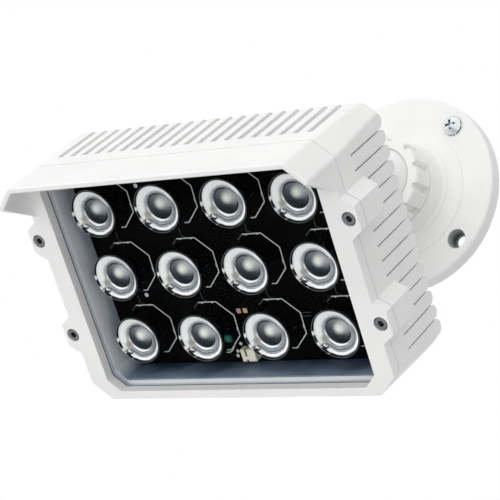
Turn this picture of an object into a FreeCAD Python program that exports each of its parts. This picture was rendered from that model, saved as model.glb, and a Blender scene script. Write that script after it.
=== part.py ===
import FreeCAD, Part
import math
import os
import Sketcher

# Outdoor infrared illuminator: a finned head with twelve lenses on a ball-jointed wall bracket.
# Millimetres. The row frame has its origin at the middle of the wall plate's back face,
# +Y into the wall, +Z up and +X to the right of someone who faces the wall.
#
# The bracket is drawn with z out of the wall and y up. The head is drawn level in a frame of its own:
# x to the right, y from front to back, z up, with its origin in the middle of the twelve lens faces.

doc = FreeCAD.newDocument("infrared_illuminator")
sheet = doc.addObject("Spreadsheet::Sheet", "Sizes")

SIZES = {
    # Head casting, front cover and visor
    "opening_half_width": 66.6,
    "opening_half_height": 50.0,
    "opening_corner": 5.5,
    "bezel_side": 8.6,
    "bezel_rim": 3.7,
    "head_half_width": "=opening_half_width + bezel_side",
    "head_half_height": "=opening_half_height + bezel_rim",
    "head_corner": 8.0,
    "rear_corner": 5.5,
    "crease_round": 2.2,
    "bezel_ahead": 7.3,
    "parting_ahead": 2.0,
    "parting_gap": 0.4,
    "parting_gap_depth": 0.8,
    "head_back": 36.2,
    "back_round": 4.0,
    "visor_reach": 17.1,
    "visor_wall": 2.3,
    "visor_edge": 0.6,
    "wing_root_drop": 19.7,
    "wing_tip_drop": 9.2,
    "wing_root_height": "=head_half_height - wing_root_drop",
    "wing_tip_height": "=head_half_height - wing_tip_drop",
    "cut_past": 5.0,
    # Screw ears at both sides
    "ear_height": 5.3,
    "ear_base_half": 8.8,
    "ear_flat_half": 5.1,
    "ear_centre": 22.3,
    "ear_root": 1.0,
    "ear_back": 12.8,
    "ear_screw_offset": 1.2,
    "ear_hole_radius": 1.7,
    "ear_recess_radius": 3.05,
    "ear_recess_depth": 3.3,
    "ear_thread_depth": 11.0,
    # Window and its gasket
    "glass_ahead": 2.4,
    "glass_thickness": 2.0,
    "glass_lap": 1.3,
    "gasket_lip": 0.5,
    "gasket_wall": 0.9,
    "gasket_clearance": 0.1,
    # Inside of the housing
    "side_wall": 8.7,
    "rim_wall": 5.7,
    "back_wall": 5.5,
    "cavity_half_width": "=head_half_width - side_wall",
    "cavity_half_height": "=head_half_height - rim_wall",
    "cavity_corner": 5.0,
    "ledge_width": 6.3,
    "cavity_floor": "=head_back - back_wall",
    "board_behind": 12.6,
    "board_thickness": 1.6,
    "carrier_thickness": 3.0,
    "board_clearance": 0.4,
    "board_screw_inset_x": 5.2,
    "board_screw_inset_z": 4.8,
    # Cooling grooves
    "side_grooves": 14,
    "top_grooves": 20,
    "side_groove_margin": 4.1,
    "top_groove_margin": 5.45,
    "side_groove_pitch": "=2 * (head_half_height - head_corner - side_groove_margin) / (side_grooves - 1)",
    "top_groove_pitch": "=2 * (head_half_width - head_corner - top_groove_margin) / (top_grooves - 1)",
    "side_groove_front": 8.3,
    "top_groove_front": 6.4,
    "side_groove_width": 0.8,
    "top_groove_width": 2.8,
    "groove_depth": 4.2,
    "finger_flat": 0.2,
    # Lenses and emitters
    "lens_columns": 4,
    "lens_rows": 3,
    "lens_side_margin": 17.1,
    "lens_rim_margin": 20.3,
    "lens_pitch_x": "=2 * (opening_half_width - lens_side_margin) / (lens_columns - 1)",
    "lens_pitch_z": "=2 * (opening_half_height - lens_rim_margin) / (lens_rows - 1)",
    "lens_radius": 10.8,
    "lens_rim": 1.7,
    "lens_cone_top": 9.8,
    "lens_cone_base": 4.4,
    "lens_standing": 1.0,
    "lens_cone_curve": 22.0,
    "lens_dish_radius": 10.05,
    "lens_dish_drop": 0.9,
    "lens_well_radius": 5.75,
    "lens_well_depth": 2.65,
    "lens_bead_height": 1.55,
    "lens_pocket_radius": 2.7,
    "lens_pocket_depth": 3.6,
    "lens_pocket_rise": 0.6,
    "lens_leg_radius": 0.8,
    "lens_leg_circle": 9.3,
    "lens_legs": 3,
    "emitter_side": 4.6,
    "emitter_height": 0.9,
    "emitter_dome": 1.5,
    # Wall plate
    "plate_radius": 47.0,
    "plate_thickness": 7.0,
    "plate_round": 1.2,
    "hub_foot_radius": 32.0,
    "hub_foot_rise": 0.5,
    "hub_step_radius": 25.3,
    "hub_step_height": 9.6,
    "hub_step_rise": 0.6,
    "hub_step_ledge": 2.3,
    "hub_flare": 14.0,
    "hub_shoulder_radius": 21.5,
    "hub_shoulder_height": 17.8,
    "hub_neck_flare": 40.0,
    "shroud_wall": 1.2,
    "spigot_radius": 17.6,
    "spigot_height": 18.5,
    "socket_radius": 15.6,
    "socket_floor": 5.0,
    "back_recess_inner": 19.5,
    "back_recess_outer": 30.5,
    "back_recess_depth": 4.0,
    "bolt_circle_radius": 39.0,
    "bolt_count": 4,
    "bolt_clocking": 7.0,
    "bolt_hole_radius": 2.75,
    "bolt_recess_radius": 4.6,
    "bolt_recess_depth": 4.8,
    # Ball joint and locking ring
    "ball_radius": 16.0,
    "ball_height": 23.8,
    "ball_clearance": 0.3,
    "ball_flat": 13.5,
    "seat_top": 16.0,
    "seat_clearance": 0.08,
    "seat_drain_radius": 3.0,
    "ring_bottom": 15.5,
    "ring_foot_gap": 0.3,
    "ring_sleeve_gap": 0.35,
    "ring_grip_gap": 0.25,
    "ring_grip_bottom": "=hub_shoulder_height + ring_grip_gap",
    "ring_top": 29.5,
    "ring_base_radius": 21.2,
    "ring_top_radius": 20.5,
    "ring_collar": 0.3,
    "ring_edge": 0.6,
    "ring_bore_top": 19.2,
    "ring_clearance": 0.08,
    "ring_mouth_edge": 0.25,
    "notch_count": 12,
    "notch_clocking": 18.0,
    "notch_floor_width": 2.0,
    "notch_floor_radius": 18.5,
    # Arm between the ball and the head
    "stud_radius": 4.0,
    "stud_length": 31.0,
    "stud_clearance": 0.05,
    "arm_start": 13.8,
    "neck_radius": 6.0,
    "neck_end": 20.0,
    "arm_cone_end": 32.0,
    "arm_radius": 11.0,
    "arm_end_radius": 12.5,
    "arm_head_gap": 0.35,
    "arm_flare": "=flange_bolt_circle - arm_head_radius - arm_head_gap - arm_end_radius",
    "arm_bore_depth": 34.0,
    "flange_radius": 26.0,
    "flange_thickness": 6.0,
    "flange_bolt_circle": 19.5,
    "flange_bolts": 4,
    "flange_hole_radius": 2.75,
    "arm_boss_radius": 27.0,
    "arm_boss_rise": 1.8,
    "arm_boss_back": "=head_back + arm_boss_rise",
    "arm_thread_depth": 6.5,
    # Where the head hangs from the ball
    "tilt": 41.0,
    "ball_behind": 143.5,
    "ball_below": 26.0,
    # Screws
    "small_screw_radius": 1.5,
    "small_head_radius": 2.75,
    "small_head_height": 3.0,
    "thread_clearance": 0.05,
    "cover_screw_length": 12.0,
    "board_head_height": 1.8,
    "board_screw_length": 9.0,
    "arm_screw_radius": 2.5,
    "arm_head_radius": 4.25,
    "arm_head_height": 5.0,
    "arm_screw_length": 12.0,
    "wall_screw_radius": 2.5,
    "wall_neck_radius": 2.2,
    "wall_neck_past": 0.5,
    "wall_neck_length": "=plate_thickness + wall_screw_lift + wall_neck_past",
    "wall_point_length": 5.0,
    "wall_head_radius": 4.6,
    "wall_head_height": 2.7,
    "wall_screw_length": 35.0,
    "wall_screw_lift": 0.8,
    "wall_screw_turn": 10.0,
    "point_share": 0.1,
    "cross_length_share": 0.55,
    "cross_width_share": 0.13,
    "cross_floor_share": 0.4,
    "socket_share": 0.52,
    "socket_depth_share": 0.55,
    "head_edge_share": 0.12,
    # Cable gland
    "gland_inset": 22.5,
    "gland_x": "=cavity_half_width - gland_inset",
    "gland_z": 16.0,
    "gland_boss_radius": 13.0,
    "gland_boss_rise": 1.3,
    "gland_boss_back": "=head_back + gland_boss_rise",
    "gland_thread_radius": 8.0,
    "gland_bore_radius": 5.2,
    "gland_hex": 11.0,
    "gland_hex_height": 5.0,
    "gland_shank": 11.5,
    "gland_neck_height": 9.0,
    "gland_nut_radius": 10.6,
    "gland_nut_height": 12.0,
    "gland_mouth_radius": 5.4,
    "gland_dome": 3.0,
    "gland_nut_gap": 0.3,
    "gland_lip": 1.5,
    "gland_taper": 2.6,
    "gland_seal_bore": 3.2,
    "gland_seal_sink": 2.0,
    "gland_seal_rise": 0.2,
    "gland_seal_edge": 0.8,
    "gland_seal_flare": 0.5,
    "locknut_height": 3.0,
    "gland_clearance": 0.05,
    # Driver electronics
    "driver_shift": 13.0,
    "driver_gap_x": 7.2,
    "driver_gap_z": 7.7,
    "driver_half_width": "=cavity_half_width - ledge_width - driver_gap_x - driver_shift",
    "driver_half_height": "=cavity_half_height - ledge_width - driver_gap_z",
    "driver_thickness": 1.6,
    "spacer_height": 3.0,
    "spacer_radius": 2.75,
    "spacer_inset": 4.5,
    "driver_screw_radius": 1.25,
    "driver_head_radius": 2.25,
    "driver_head_height": 1.6,
    "choke_x": "=driver_shift + driver_half_width * 0.45",
    "choke_radius": 7.5,
    "choke_height": 6.0,
    "choke_waist_out": 0.9,
    "choke_waist_radius": 1.9,
    "capacitor_z": "=driver_half_height * 0.45",
    "capacitor_radius": 4.0,
    "capacitor_height": 6.8,
    "capacitor_round": 0.5,
    "terminal_x": "=driver_shift - driver_half_width * 0.75",
    "terminal_width": 15.0,
    "terminal_depth": 8.0,
    "terminal_height": 6.5,
    "terminal_well_radius": 1.75,
    "terminal_well_depth": 3.25,
    "link_pin_radius": 0.5,
    "link_pitch": 5.08,
    "link_from_lens": 5.0,
    "link_x": "=lens_pitch_x / 2 - link_from_lens",
    "link_z": "=link_from_lens",
    "link_slot_half_width": 4.2,
    "link_slot_half_height": 2.6,
    # Parts on the lamp board
    "photocell_x": "=lens_pitch_x / 2 - 5.5",
    "photocell_z": "=lens_pitch_z + 5.9",
    "photocell_radius": 2.3,
    "photocell_height": 2.2,
    "photocell_round": 0.7,
    "socket_inset": 6.0,
    "socket_x": 3.4,
    "socket_z": "=cavity_half_height - socket_inset",
    "socket_width": 9.0,
    "socket_length": 5.8,
    "socket_height": 3.4,
    "socket_slit_width": 0.9,
    "socket_slit_length": 3.2,
    "socket_slit_depth": 2.6,
    "socket_notch": 0.9,
}

for row, (alias, entry) in enumerate(SIZES.items(), start=1):
    sheet.set("A%d" % row, alias)
    sheet.set("B%d" % row, str(entry))
    sheet.setAlias("B%d" % row, alias)
doc.recompute()


def bound(text):
    """Put the sheet's name before each size named in an expression."""
    words = []
    word = ""
    for letter in text + " ":
        if letter.isalnum() or letter == "_":
            word += letter
            continue
        words.append("Sizes." + word if word in SIZES else word)
        words.append(letter)
        word = ""
    return "".join(words).strip()


def size(text):
    """The number that an expression in the sheet's sizes gives."""
    return float(sheet.evalExpression(bound(text)))


# Sketches and features


def sketch_on(body, name, role, offset="0"):
    """A sketch on one of the body's own origin planes, moved along that plane's normal."""
    sketch = body.newObject("Sketcher::SketchObject", name)
    plane = [feature for feature in body.Origin.OriginFeatures if feature.Role == role][0]
    sketch.AttachmentSupport = (plane, [""])
    sketch.MapMode = "FlatFace"
    sketch.setExpression("AttachmentOffset.Base.z", bound(offset))
    return sketch


def pin_point(sketch, edge, end, across, up):
    """Fix one end of an edge, or a circle's centre, at two bound distances from the sketch's origin."""
    for kind, expression in (("DistanceX", across), ("DistanceY", up)):
        index = sketch.addConstraint(Sketcher.Constraint(kind, -1, 1, edge, end, size(expression)))
        sketch.setExpression("Constraints[%d]" % index, bound(expression))


def draw_outline(sketch, points):
    """A closed outline. A point is (across, up), or (across, up, radius, turn) where an arc ends there."""
    places = [FreeCAD.Vector(size(point[0]), size(point[1]), 0) for point in points]
    first = sketch.GeometryCount
    for index, point in enumerate(points):
        start, end = places[index - 1], places[index]
        if len(point) == 2:
            sketch.addGeometry(Part.LineSegment(start, end))
            continue
        radius, turn = size(point[2]), point[3]
        chord = end - start
        middle = (start + end) * 0.5
        normal = FreeCAD.Vector(-chord.y, chord.x, 0).normalize() * turn
        centre = middle + normal * math.sqrt(max(radius ** 2 - chord.Length ** 2 / 4, 0))
        bulge = centre - normal * radius
        sketch.addGeometry(Part.Arc(start, bulge, end))
    count = len(points)
    for index, point in enumerate(points):
        edge, following = first + index, first + (index + 1) % count
        backwards = len(point) == 4 and point[3] < 0
        next_point = points[(index + 1) % count]
        next_backwards = len(next_point) == 4 and next_point[3] < 0
        sketch.addConstraint(Sketcher.Constraint(
            "Coincident", edge, 1 if backwards else 2, following, 2 if next_backwards else 1))
        pin_point(sketch, edge, 1 if backwards else 2, point[0], point[1])
        if len(point) == 4:
            index = sketch.addConstraint(Sketcher.Constraint("Radius", edge, size(point[2])))
            sketch.setExpression("Constraints[%d]" % index, bound(point[2]))


def draw_circle(sketch, across, up, radius):
    centre = FreeCAD.Vector(size(across), size(up), 0)
    edge = sketch.addGeometry(Part.Circle(centre, FreeCAD.Vector(0, 0, 1), size(radius)))
    pin_point(sketch, edge, 3, across, up)
    index = sketch.addConstraint(Sketcher.Constraint("Radius", edge, size(radius)))
    sketch.setExpression("Constraints[%d]" % index, bound(radius))


def new_body(label):
    body = doc.addObject("PartDesign::Body", label)
    body.Label = label
    return body


def solid_from(body, sketch, kind, name, **options):
    """A pad, pocket, revolution or groove, refused if it doesn't change the body's volume."""
    before = body.Shape.Volume if body.Tip else 0.0
    feature = body.newObject("PartDesign::" + kind, name)
    feature.Profile = sketch
    for option, setting in options.items():
        if isinstance(setting, str) and option in ("Length", "Angle", "TaperAngle"):
            feature.setExpression(option, bound(setting))
        else:
            setattr(feature, option, setting)
    body.Tip = feature
    doc.recompute()
    after = feature.Shape.Volume
    cuts = kind in ("Pocket", "Groove")
    if (after >= before - 1e-6) if cuts else (after <= before + 1e-6):
        raise RuntimeError("%s in %s changes nothing" % (name, body.Label))
    return feature


def rounded(body, name, radius, wanted):
    """Round those edges of the body's last feature for which wanted(edge) is true."""
    base = body.Tip
    names = ["Edge%d" % number for number, edge in enumerate(base.Shape.Edges, start=1) if wanted(edge)]
    before = base.Shape.Volume
    feature = body.newObject("PartDesign::Fillet", name)
    feature.Base = (base, names)
    feature.setExpression("Radius", bound(radius))
    body.Tip = feature
    doc.recompute()
    if feature.Shape.Volume >= before - 1e-6:
        raise RuntimeError("%s in %s rounds nothing" % (name, body.Label))
    return feature


def is_crease(edge):
    """True for an outer edge of the head that runs from front to back between a flat side and a corner."""
    ends = [vertex.Point for vertex in edge.Vertexes]
    if len(ends) != 2 or abs(ends[0].y - ends[1].y) < abs(ends[0].x - ends[1].x) + abs(ends[0].z - ends[1].z):
        return False
    half_width, half_height = size("head_half_width"), size("head_half_height")
    beside = all(abs(abs(end.x) - half_width) < 1e-4 and abs(end.z) > half_height - size("head_corner") - 1e-4
                 for end in ends)
    above = all(abs(abs(end.z) - half_height) < 1e-4 for end in ends)
    return beside or above


def octagon(half_width, half_height, corner):
    """The corners of a rectangle whose four corners are cut off at 45 degrees."""
    points = []
    for side, level, order in ((1, -1, 0), (1, 1, 1), (-1, 1, 0), (-1, -1, 1)):
        ends = [("%d * (%s - %s)" % (side, half_width, corner), "%d * (%s)" % (level, half_height)),
                ("%d * (%s)" % (side, half_width), "%d * (%s - %s)" % (level, half_height, corner))]
        points += ends[::-1] if order else ends
    return points


def layer(body, name, outlines, front, thickness, cut=False, circles=()):
    """A pad or pocket across the head, from the plane y = front towards the back."""
    sketch = sketch_on(body, name + "_sketch", "XZ_Plane", "-(%s)" % front)
    for points in outlines:
        draw_outline(sketch, points)
    for circle in circles:
        draw_circle(sketch, *circle)
    if cut:
        return solid_from(body, sketch, "Pocket", name, Length=thickness)
    return solid_from(body, sketch, "Pad", name, Length=thickness, Reversed=True)


def turned(body, name, points, cut=False):
    """A profile in the body's XZ plane, turned a full circle about z."""
    sketch = sketch_on(body, name + "_sketch", "XZ_Plane")
    draw_outline(sketch, points)
    return solid_from(body, sketch, "Groove" if cut else "Revolution", name,
                      ReferenceAxis=(sketch, ["V_Axis"]), Angle="360")


def round_pattern(body, feature, name, count):
    """Copies of one feature about the body's z axis."""
    pattern = body.newObject("PartDesign::PolarPattern", name)
    pattern.Originals = [feature]
    axis = [item for item in body.Origin.OriginFeatures if item.Role == "Z_Axis"][0]
    pattern.Axis = (axis, [""])
    pattern.Angle = 360
    pattern.setExpression("Occurrences", bound(count))
    body.Tip = pattern
    doc.recompute()
    return pattern


def finished(label, shape):
    """A sub-part whose shape is worked out from the sheet by the code that calls this."""
    feature = doc.addObject("Part::Feature", label)
    feature.Label = label
    feature.Shape = shape
    return feature


def cylinder(radius, length, base, direction):
    return Part.makeCylinder(radius, length, base, direction)


BACK = FreeCAD.Vector(0, 1, 0)
FRONT = FreeCAD.Vector(0, -1, 0)
UP = FreeCAD.Vector(0, 0, 1)
EAR_SIDES = [(side, level) for side in (-1, 1) for level in (-1, 1)]
EAR_SCREWS = [("%d * (head_half_width + ear_screw_offset)" % side, "%d * ear_centre" % level)
              for side, level in EAR_SIDES]
BOARD_SCREWS = [("%d * (cavity_half_width - board_screw_inset_x)" % side,
                 "%d * (cavity_half_height - board_screw_inset_z)" % level) for side, level in EAR_SIDES]
DRIVER_SCREWS = [("driver_shift + %d * (driver_half_width - spacer_inset)" % side,
                  "%d * (driver_half_height - spacer_inset)" % level) for side, level in EAR_SIDES]


def ear_outlines():
    """Four trapezoid ears, each rooted a little inside the side wall."""
    outlines = []
    for side, level in EAR_SIDES:
        root = "%d * (head_half_width - ear_root)" % side
        wall = "%d * head_half_width" % side
        crest = "%d * (head_half_width + ear_height)" % side
        centre = "%d * ear_centre" % level
        outlines.append([(root, centre + " - ear_base_half"), (wall, centre + " - ear_base_half"),
                         (crest, centre + " - ear_flat_half"), (crest, centre + " + ear_flat_half"),
                         (wall, centre + " + ear_base_half"), (root, centre + " + ear_base_half")])
    return outlines


# Head: front cover with its visor


def make_front_cover():
    body = new_body("front_cover")
    thickness = "bezel_ahead - parting_ahead"
    layer(body, "bezel", [octagon("head_half_width", "head_half_height", "head_corner")],
          "-bezel_ahead", thickness)
    inner_width = "(head_half_width - visor_wall)"
    inner_height = "(head_half_height - visor_wall)"
    inner_corner = "(head_corner - visor_wall * (2 - sqrt(2)))"
    roof = [("head_half_width", "wing_root_height"),
            ("head_half_width", "head_half_height - head_corner"),
            ("head_half_width - head_corner", "head_half_height"),
            ("-(head_half_width - head_corner)", "head_half_height"),
            ("-head_half_width", "head_half_height - head_corner"),
            ("-head_half_width", "wing_root_height"),
            ("-" + inner_width, "wing_root_height"),
            ("-" + inner_width, inner_height + " - " + inner_corner),
            ("-(" + inner_width + " - " + inner_corner + ")", inner_height),
            (inner_width + " - " + inner_corner, inner_height),
            (inner_width, inner_height + " - " + inner_corner),
            (inner_width, "wing_root_height")]
    layer(body, "visor", [roof], "-(bezel_ahead + visor_reach)", "visor_reach")
    rounded(body, "creases", "crease_round", is_crease)
    visor_front, wing_end = -size("bezel_ahead + visor_reach"), size("wing_root_height")
    rounded(body, "visor_rim", "visor_edge",
            lambda edge: all(abs(vertex.Point.y - visor_front) < 1e-4 for vertex in edge.Vertexes)
            and any(vertex.Point.z > wing_end + 1e-4 for vertex in edge.Vertexes))
    slope = sketch_on(body, "wing_slope_sketch", "YZ_Plane")
    draw_outline(slope, [("-bezel_ahead", "wing_root_height - cut_past"),
                         ("-bezel_ahead", "wing_root_height"),
                         ("-(bezel_ahead + visor_reach)", "wing_tip_height"),
                         ("-(bezel_ahead + visor_reach + cut_past)", "wing_tip_height"),
                         ("-(bezel_ahead + visor_reach + cut_past)", "wing_root_height - cut_past")])
    solid_from(body, slope, "Pocket", "wing_slope", Type="ThroughAll", Midplane=True)
    layer(body, "ears", ear_outlines(), "-bezel_ahead", thickness)
    layer(body, "opening", [octagon("opening_half_width", "opening_half_height", "opening_corner")],
          "-bezel_ahead", thickness, cut=True)
    rebate = "glass_lap + gasket_wall + gasket_clearance"
    layer(body, "window_rebate",
          [octagon("(opening_half_width + %s)" % rebate, "(opening_half_height + %s)" % rebate,
                   "opening_corner")],
          "-(glass_ahead + gasket_lip)", "glass_ahead + gasket_lip - parting_ahead", cut=True)
    layer(body, "screw_holes", [], "-bezel_ahead", thickness, cut=True,
          circles=[place + ("ear_hole_radius",) for place in EAR_SCREWS])
    layer(body, "screw_recesses", [], "-bezel_ahead", "ear_recess_depth", cut=True,
          circles=[place + ("ear_recess_radius",) for place in EAR_SCREWS])
    past_ears = "ear_height + cut_past"
    layer(body, "parting_groove",
          [octagon("(head_half_width + %s)" % past_ears, "(head_half_height + %s)" % past_ears,
                   "head_corner"),
           octagon("(head_half_width - parting_gap_depth)", "(head_half_height - parting_gap_depth)",
                   "head_corner")],
          "-(parting_ahead + parting_gap)", "parting_gap", cut=True)
    return body


# Head: finned rear housing


def make_groove(start, pitch, width):
    """One cooling groove lying along y: a slot whose rear end flares, so the fingers beside it end round."""
    half = width / 2
    arc = (pitch - width - size("finger_flat")) / 2
    tip = size("head_back")
    reach = tip + size("cut_past")
    bend = arc * (1 - math.cos(math.pi / 4))
    corners = [FreeCAD.Vector(half, start, 0), FreeCAD.Vector(half, tip - arc, 0),
               FreeCAD.Vector(half + bend, tip - arc + arc * math.sin(math.pi / 4), 0),
               FreeCAD.Vector(half + arc, tip, 0), FreeCAD.Vector(half + arc, reach, 0)]
    mirrored = [FreeCAD.Vector(-point.x, point.y, 0) for point in corners]
    edges = [Part.makeLine(corners[0], corners[1]),
             Part.Arc(corners[1], corners[2], corners[3]).toShape(),
             Part.makeLine(corners[3], corners[4]),
             Part.makeLine(corners[4], mirrored[4]),
             Part.makeLine(mirrored[4], mirrored[3]),
             Part.Arc(mirrored[3], mirrored[2], mirrored[1]).toShape(),
             Part.makeLine(mirrored[1], mirrored[0]),
             Part.makeLine(mirrored[0], corners[0])]
    past_wall = size("ear_height + cut_past")
    return Part.Face(Part.Wire(edges)).extrude(FreeCAD.Vector(0, 0, size("groove_depth") + past_wall))


def make_groove_cutters():
    """All the grooves: across both sides, the top and the bottom."""
    cutters = []
    depth = size("groove_depth")
    side_count = int(size("side_grooves"))
    side_pitch = size("side_groove_pitch")
    for index in range(side_count):
        height = (index - (side_count - 1) / 2) * side_pitch
        beside_ear = abs(abs(height) - size("ear_centre")) < size("ear_base_half")
        groove = make_groove(size("ear_back" if beside_ear else "side_groove_front"), side_pitch,
                             size("side_groove_width"))
        for turn in (90, -90):
            cutter = groove.copy()
            cutter.Placement = FreeCAD.Placement(FreeCAD.Vector(0, 0, 0), FreeCAD.Rotation(BACK, turn))
            side = 1 if turn > 0 else -1
            cutter.translate(FreeCAD.Vector(side * (size("head_half_width") - depth), 0, height))
            cutters.append(cutter)
    top_count = int(size("top_grooves"))
    top_pitch = size("top_groove_pitch")
    top_groove = make_groove(size("top_groove_front"), top_pitch, size("top_groove_width"))
    for index in range(top_count):
        across = (index - (top_count - 1) / 2) * top_pitch
        for turn in (0, 180):
            cutter = top_groove.copy()
            cutter.Placement = FreeCAD.Placement(FreeCAD.Vector(0, 0, 0), FreeCAD.Rotation(BACK, turn))
            level = 1 if turn == 0 else -1
            cutter.translate(FreeCAD.Vector(across, 0, level * (size("head_half_height") - depth)))
            cutters.append(cutter)
    return finished("groove_cutters", Part.makeCompound(cutters))


def make_rear_housing():
    body = new_body("housing_casting")
    corners = [("%d * head_half_width" % side, "%d * head_half_height" % level)
               for side, level in ((-1, -1), (1, -1), (1, 1), (-1, 1))]
    layer(body, "block", [corners], "-parting_ahead", "head_back + parting_ahead")
    for turn in (45, -45):
        slant = sketch_on(body, "corner_sketch", "YZ_Plane")
        slant.AttachmentOffset = FreeCAD.Placement(
            FreeCAD.Vector(0, 0, 0), FreeCAD.Rotation(FreeCAD.Vector(1, 0, 0), turn))
        for level in (-1, 1):
            front = "%d * (head_half_width + head_half_height - head_corner) / sqrt(2)" % level
            back = "%d * (head_half_width + head_half_height - rear_corner) / sqrt(2)" % level
            past = "%d * (head_half_width + head_half_height)" % level
            draw_outline(slant, [("-parting_ahead", front), ("head_back", back),
                                 ("head_back", past), ("-parting_ahead", past)])
        solid_from(body, slant, "Pocket", "cut_corners", Type="ThroughAll", Midplane=True)
    half_height = size("head_half_height")
    rounded(body, "rear_rim", "back_round",
            lambda edge: all(abs(vertex.Point.y - size("head_back")) < 1e-4
                             and abs(abs(vertex.Point.z) - half_height) < 1e-4 for vertex in edge.Vertexes))
    rounded(body, "creases", "crease_round", is_crease)
    layer(body, "ears", ear_outlines(), "-parting_ahead", "ear_back + parting_ahead")
    boss_root = "cavity_floor"
    layer(body, "arm_boss", [], boss_root, "arm_boss_back - " + boss_root,
          circles=[("0", "-ball_below", "arm_boss_radius")])
    layer(body, "gland_boss", [], boss_root, "gland_boss_back - " + boss_root,
          circles=[("-gland_x", "gland_z", "gland_boss_radius")])
    rebate = "glass_lap + gasket_wall + gasket_clearance"
    layer(body, "window_rebate",
          [octagon("(opening_half_width + %s)" % rebate, "(opening_half_height + %s)" % rebate,
                   "opening_corner")],
          "-parting_ahead", "parting_ahead - glass_ahead + glass_thickness + gasket_lip", cut=True)
    ledge = "board_behind + board_thickness + carrier_thickness"
    layer(body, "lamp_cavity", [octagon("cavity_half_width", "cavity_half_height", "cavity_corner")],
          "-parting_ahead", "parting_ahead + " + ledge, cut=True)
    layer(body, "driver_cavity",
          [octagon("(cavity_half_width - ledge_width)", "(cavity_half_height - ledge_width)",
                   "cavity_corner")],
          ledge, "cavity_floor - (%s)" % ledge, cut=True)
    layer(body, "ear_threads", [], "-parting_ahead", "ear_thread_depth", cut=True,
          circles=[place + ("small_screw_radius + thread_clearance",) for place in EAR_SCREWS])
    layer(body, "board_threads", [], ledge, "board_screw_length", cut=True,
          circles=[place + ("small_screw_radius + thread_clearance",) for place in BOARD_SCREWS])
    layer(body, "gland_hole", [], "cavity_floor", "gland_boss_back - cavity_floor", cut=True,
          circles=[("-gland_x", "gland_z", "gland_thread_radius + gland_clearance")])
    threads = []
    for index in range(int(size("flange_bolts"))):
        turn = "(360 * %d / flange_bolts + 45)" % index
        threads.append(("flange_bolt_circle * cos(%s)" % turn,
                        "flange_bolt_circle * sin(%s) - ball_below" % turn,
                        "arm_screw_radius + thread_clearance"))
    layer(body, "arm_threads", [], "arm_boss_back - arm_thread_depth", "arm_thread_depth", cut=True,
          circles=threads)
    grooved = doc.addObject("Part::Cut", "rear_housing")
    grooved.Label = "rear_housing"
    grooved.Base = body
    grooved.Tool = make_groove_cutters()
    doc.recompute()
    return grooved


# Head: window, boards and what is on them


def make_window():
    glass = new_body("window_glass")
    layer(glass, "pane",
          [octagon("(opening_half_width + glass_lap)", "(opening_half_height + glass_lap)",
                   "opening_corner")],
          "-glass_ahead", "glass_thickness")
    gasket = new_body("window_gasket")
    outer = octagon("(opening_half_width + glass_lap + gasket_wall)",
                    "(opening_half_height + glass_lap + gasket_wall)", "opening_corner")
    sight = octagon("opening_half_width", "opening_half_height", "opening_corner")
    seat = octagon("(opening_half_width + glass_lap)", "(opening_half_height + glass_lap)",
                   "opening_corner")
    layer(gasket, "front_lip", [outer, sight], "-(glass_ahead + gasket_lip)", "gasket_lip")
    layer(gasket, "edge_wall", [outer, seat], "-glass_ahead", "glass_thickness")
    layer(gasket, "rear_lip", [outer, sight], "glass_thickness - glass_ahead", "gasket_lip")
    return [glass, gasket]


def make_boards():
    holes = [place + ("ear_hole_radius",) for place in BOARD_SCREWS]
    outline = octagon("(cavity_half_width - board_clearance)", "(cavity_half_height - board_clearance)",
                      "cavity_corner")
    pins = [("link_x + %s * link_pitch" % share, "-link_z", "link_pin_radius + thread_clearance")
            for share in ("(-0.5)", "0.5")]
    lamp_board = new_body("led_board")
    layer(lamp_board, "laminate", [outline], "board_behind", "board_thickness")
    layer(lamp_board, "screw_holes", [], "board_behind", "board_thickness", cut=True, circles=holes)
    layer(lamp_board, "pin_holes", [], "board_behind", "board_thickness", cut=True, circles=pins)
    carrier = new_body("carrier_plate")
    layer(carrier, "plate", [outline], "board_behind + board_thickness", "carrier_thickness")
    layer(carrier, "screw_holes", [], "board_behind + board_thickness", "carrier_thickness", cut=True,
          circles=holes)
    slot = [("link_x + %d * link_slot_half_width" % side, "-link_z + %d * link_slot_half_height" % level)
            for side, level in ((-1, -1), (1, -1), (1, 1), (-1, 1))]
    layer(carrier, "pin_slot", [slot], "board_behind + board_thickness", "carrier_thickness", cut=True)
    driver = new_body("driver_board")
    driver_front = "cavity_floor - spacer_height - driver_thickness"
    edges = [("driver_shift + %d * driver_half_width" % side, "%d * driver_half_height" % level)
             for side, level in ((-1, -1), (1, -1), (1, 1), (-1, 1))]
    layer(driver, "laminate", [edges], driver_front, "driver_thickness")
    layer(driver, "screw_holes", [], driver_front, "driver_thickness", cut=True,
          circles=[place + ("driver_screw_radius + thread_clearance",) for place in DRIVER_SCREWS] + pins)
    return [lamp_board, carrier, driver]


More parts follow.
